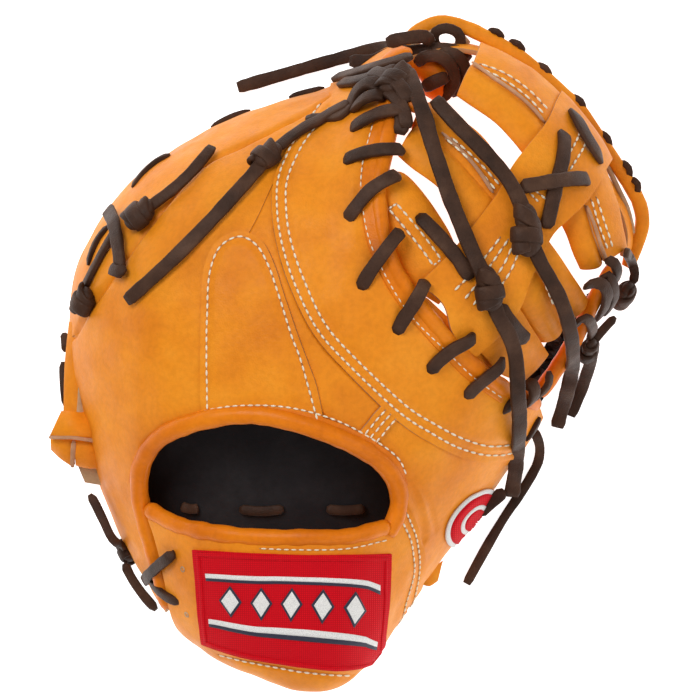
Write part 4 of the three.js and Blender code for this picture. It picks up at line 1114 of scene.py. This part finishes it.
strapSides = [tanLeather, suedeSide]
freePatch("pinky_strap_leather", [(82, 318, 24), (80, 360, 26), (79, 414, 26)], [(66, 322, 16), (62, 365, 20), (61, 413, 23)],
          0.001, strapSides, ["pinky_strap"])
freePatch("pinky_strap_edge", [(86, 326, 22), (84, 370, 23), (81, 413, 24)], [(79, 322, 24), (77, 366, 26), (75, 413, 26)],
          0.0004, [suedeSide, suedeSide])
freePatch("pinky_knot_top", [(59, 411, 26), (70, 411, 28), (82, 412, 27)], [(47, 437, 25), (70, 438, 30), (98, 441, 26)],
          0.003, strapSides, ["pinky_strap_knot"])
freePatch("pinky_knot_left", [(48, 438, 21), (60, 439, 24), (72, 439, 25)], [(48, 451, 17), (58, 460, 19), (70, 468, 20)],
          0.0016, strapSides)
freePatch("pinky_knot_right", [(72, 438, 25), (88, 440, 25), (102, 444, 21)], [(73, 467, 20), (86, 470, 20), (103, 470, 18)],
          0.0034, strapSides)
freePatch("pinky_strap_tail", [(74, 464, 15), (88, 468, 15), (104, 468, 15)], [(82, 484, 11), (94, 486, 11), (108, 488, 11)],
          0.0012, [suedeSide, suedeSide])
bm = bmesh.new()
for rows, width in (
    ([(47, 438, 0, 25.4), (58, 438, 0, 28), (70, 438, 0, 30.4), (84, 440, 0, 29.4), (98, 442, 0, 26.4)], 0.0018),
    ([(72, 441, 0, 27), (71, 452, 0, 25.6), (70, 468, 0, 21.6)], 0.0022),
):
    path, normals = routeThrough(rows, 0.002)
    sweep(bm, path, normals, width, 0.0014, 10, 1.6, 0.6, 0.2)
bmesh.ops.recalc_face_normals(bm, faces=bm.faces)
finishPiece("pinky_knot_edges", bm, [paleEdge])

print("palm")


def palmPattern(px, py):
    x, y = plan(px, py)
    dx, dy = (x - mitt["crownX"]) / mitt["width"], (y - mitt["crownY"]) / mitt["length"]
    angle = math.atan2(dy, dx) % (2 * math.pi)
    fall = math.asin(min(math.hypot(dx, dy) / rimAt(2, angle), 1.0) ** (mitt["roundness"] / 2))
    return Vector((fall * math.cos(angle), fall * math.sin(angle), 0))


def palmLine(pixels, count=60):
    return [palmPattern(*((p.x * photo["pixelsPerMetre"] + photo["middle"]), photo["middle"] - p.y * photo["pixelsPerMetre"]))
            for p in planLine(pixels, count)]


def palmRim(first, last, count=160):
    return [Vector((halfTurn * math.cos(math.radians(first + (last - first) * k / count)),
                    halfTurn * math.sin(math.radians(first + (last - first) * k / count)), 0)) for k in range(count + 1)]


def palmSheet(name, top, bottom, depth, replaces, materials, thick, steps, down):
    bm = patch(top, bottom, straight(bottom[0], top[0], 10), straight(bottom[-1], top[-1], 10), steps)
    for vert in bm.verts:
        place = Vector((vert.co.x, vert.co.y, 0))
        swell = noise.noise(fromPattern(place, 0, True) * 30.0) * 0.0012
        vert.co = fromPattern(place, depth + swell * min((halfTurn - place.length) * 3, 1), True)
        vert.co.z = max(vert.co.z, 0.0004)
    bmesh.ops.remove_doubles(bm, verts=bm.verts, dist=0.00005)
    lookUp(bm, down)
    return finishPiece(name, bm, materials, replaces, thick, 0.001)


# The palm's inner face takes the near-black lining colour, with the shade inside the mitt painted in
window = palmLine(lines["uEdge"] + lines["thumbEdge"][1:], 160)
palmSheet("palm_leather", window, palmRim(76, 374), 0.0, ["palm_shell"], [tanLeather, rawEdge, liningLeatherPaintedShade],
          0.0058, (170, 60), True)
liningTop = palmLine([(105, 470), (150, 400), (260, 370), (390, 400), (440, 480)], 60)
liningLow = palmLine([(110, 500), (140, 570), (220, 625), (350, 620), (420, 560), (436, 500)], 60)
palmSheet("palm_lining_leather", liningTop, liningLow, -0.0075, ["palm_lining"], [liningLeatherPaintedShade],
          0.0012, (70, 40), False)

for number, rows in enumerate(
    ([(150, 495), (158, 498), (164, 500)], [(190, 500), (198, 503), (206, 503)], [(244, 504), (265, 506), (286, 504)],
     [(326, 504), (343, 505), (360, 503)]), 1,
):
    path = splineThrough([fromPattern(palmPattern(*row), -0.0092, True) for row in rows], 12)
    bm = bmesh.new()
    sweep(bm, path, [Vector((0, 0, 1))] * 13, 0.0046, 0.002, 12, 2.0, 0.5)
    bmesh.ops.recalc_face_normals(bm, faces=bm.faces)
    finishPiece(f"lining_lace_{number}", bm, [laceLeather])

# Wall between the back and the palm round the web's opening
backEdge = [fromPattern(p, 0.0042) for p in patternLine(lines["uEdge"], 80)]
palmEdge = [fromPattern(p, -0.0035, True) for p in palmLine(lines["uEdge"], 80)]
bm = patch(backEdge, palmEdge, straight(palmEdge[0], backEdge[0], 8), straight(palmEdge[-1], backEdge[-1], 8), (90, 20))
lookUp(bm)
finishPiece("throat_wall_leather", bm, [tanLeather, rawEdge], ["throat_wall"], 0.002, 0.0006)

# Small tab of the palm's edge beside the wrist
freePatch("palm_edge_tab", [(424, 566, 9), (434, 569, 9), (444, 563, 8)], [(424, 588, 7), (431, 589, 7), (439, 584, 6)],
          0.001, [tanLeather, rawEdge])

print("floor and light")
floorMesh = bpy.data.meshes.new("floor")
bm = bmesh.new()
bmesh.ops.create_grid(bm, x_segments=1, y_segments=1, size=3.0)
bm.to_mesh(floorMesh)
bm.free()
floor = bpy.data.objects.new("floor", floorMesh)
bpy.context.collection.objects.link(floor)
floorMaterial, nodes, links, shader = newMaterial("pale floor")
shader.inputs["Base Color"].default_value = (0.88, 0.88, 0.88, 1)
shader.inputs["Roughness"].default_value = 0.8
shader.inputs["Emission Color"].default_value = (1, 1, 1, 1)
shader.inputs["Emission Strength"].default_value = 0.95
floorMesh.materials.append(floorMaterial)

lights = {
    "key": ((-0.75, 0.8, 1.5), 0.9, 18.0),
    "fill": ((1.1, 0.1, 1.3), 1.3, 8.0),
    "front": ((0.2, -1.2, 1.1), 1.2, 6.0),
}
for name, (place, size, power) in lights.items():
    data = bpy.data.lights.new(name, "AREA")
    data.size = size
    data.energy = power
    lamp = bpy.data.objects.new(name, data)
    lamp.location = place
    aim = Vector((0, 0, 0.04)) - Vector(place)
    lamp.rotation_euler = aim.to_track_quat("-Z", "Y").to_euler()
    bpy.context.collection.objects.link(lamp)
world = bpy.data.worlds.new("studio")
world.use_nodes = True
world.node_tree.nodes["Background"].inputs["Color"].default_value = (1, 1, 1, 1)
world.node_tree.nodes["Background"].inputs["Strength"].default_value = 0.28
bpy.context.scene.world = world
bpy.context.scene.view_settings.view_transform = "Standard"
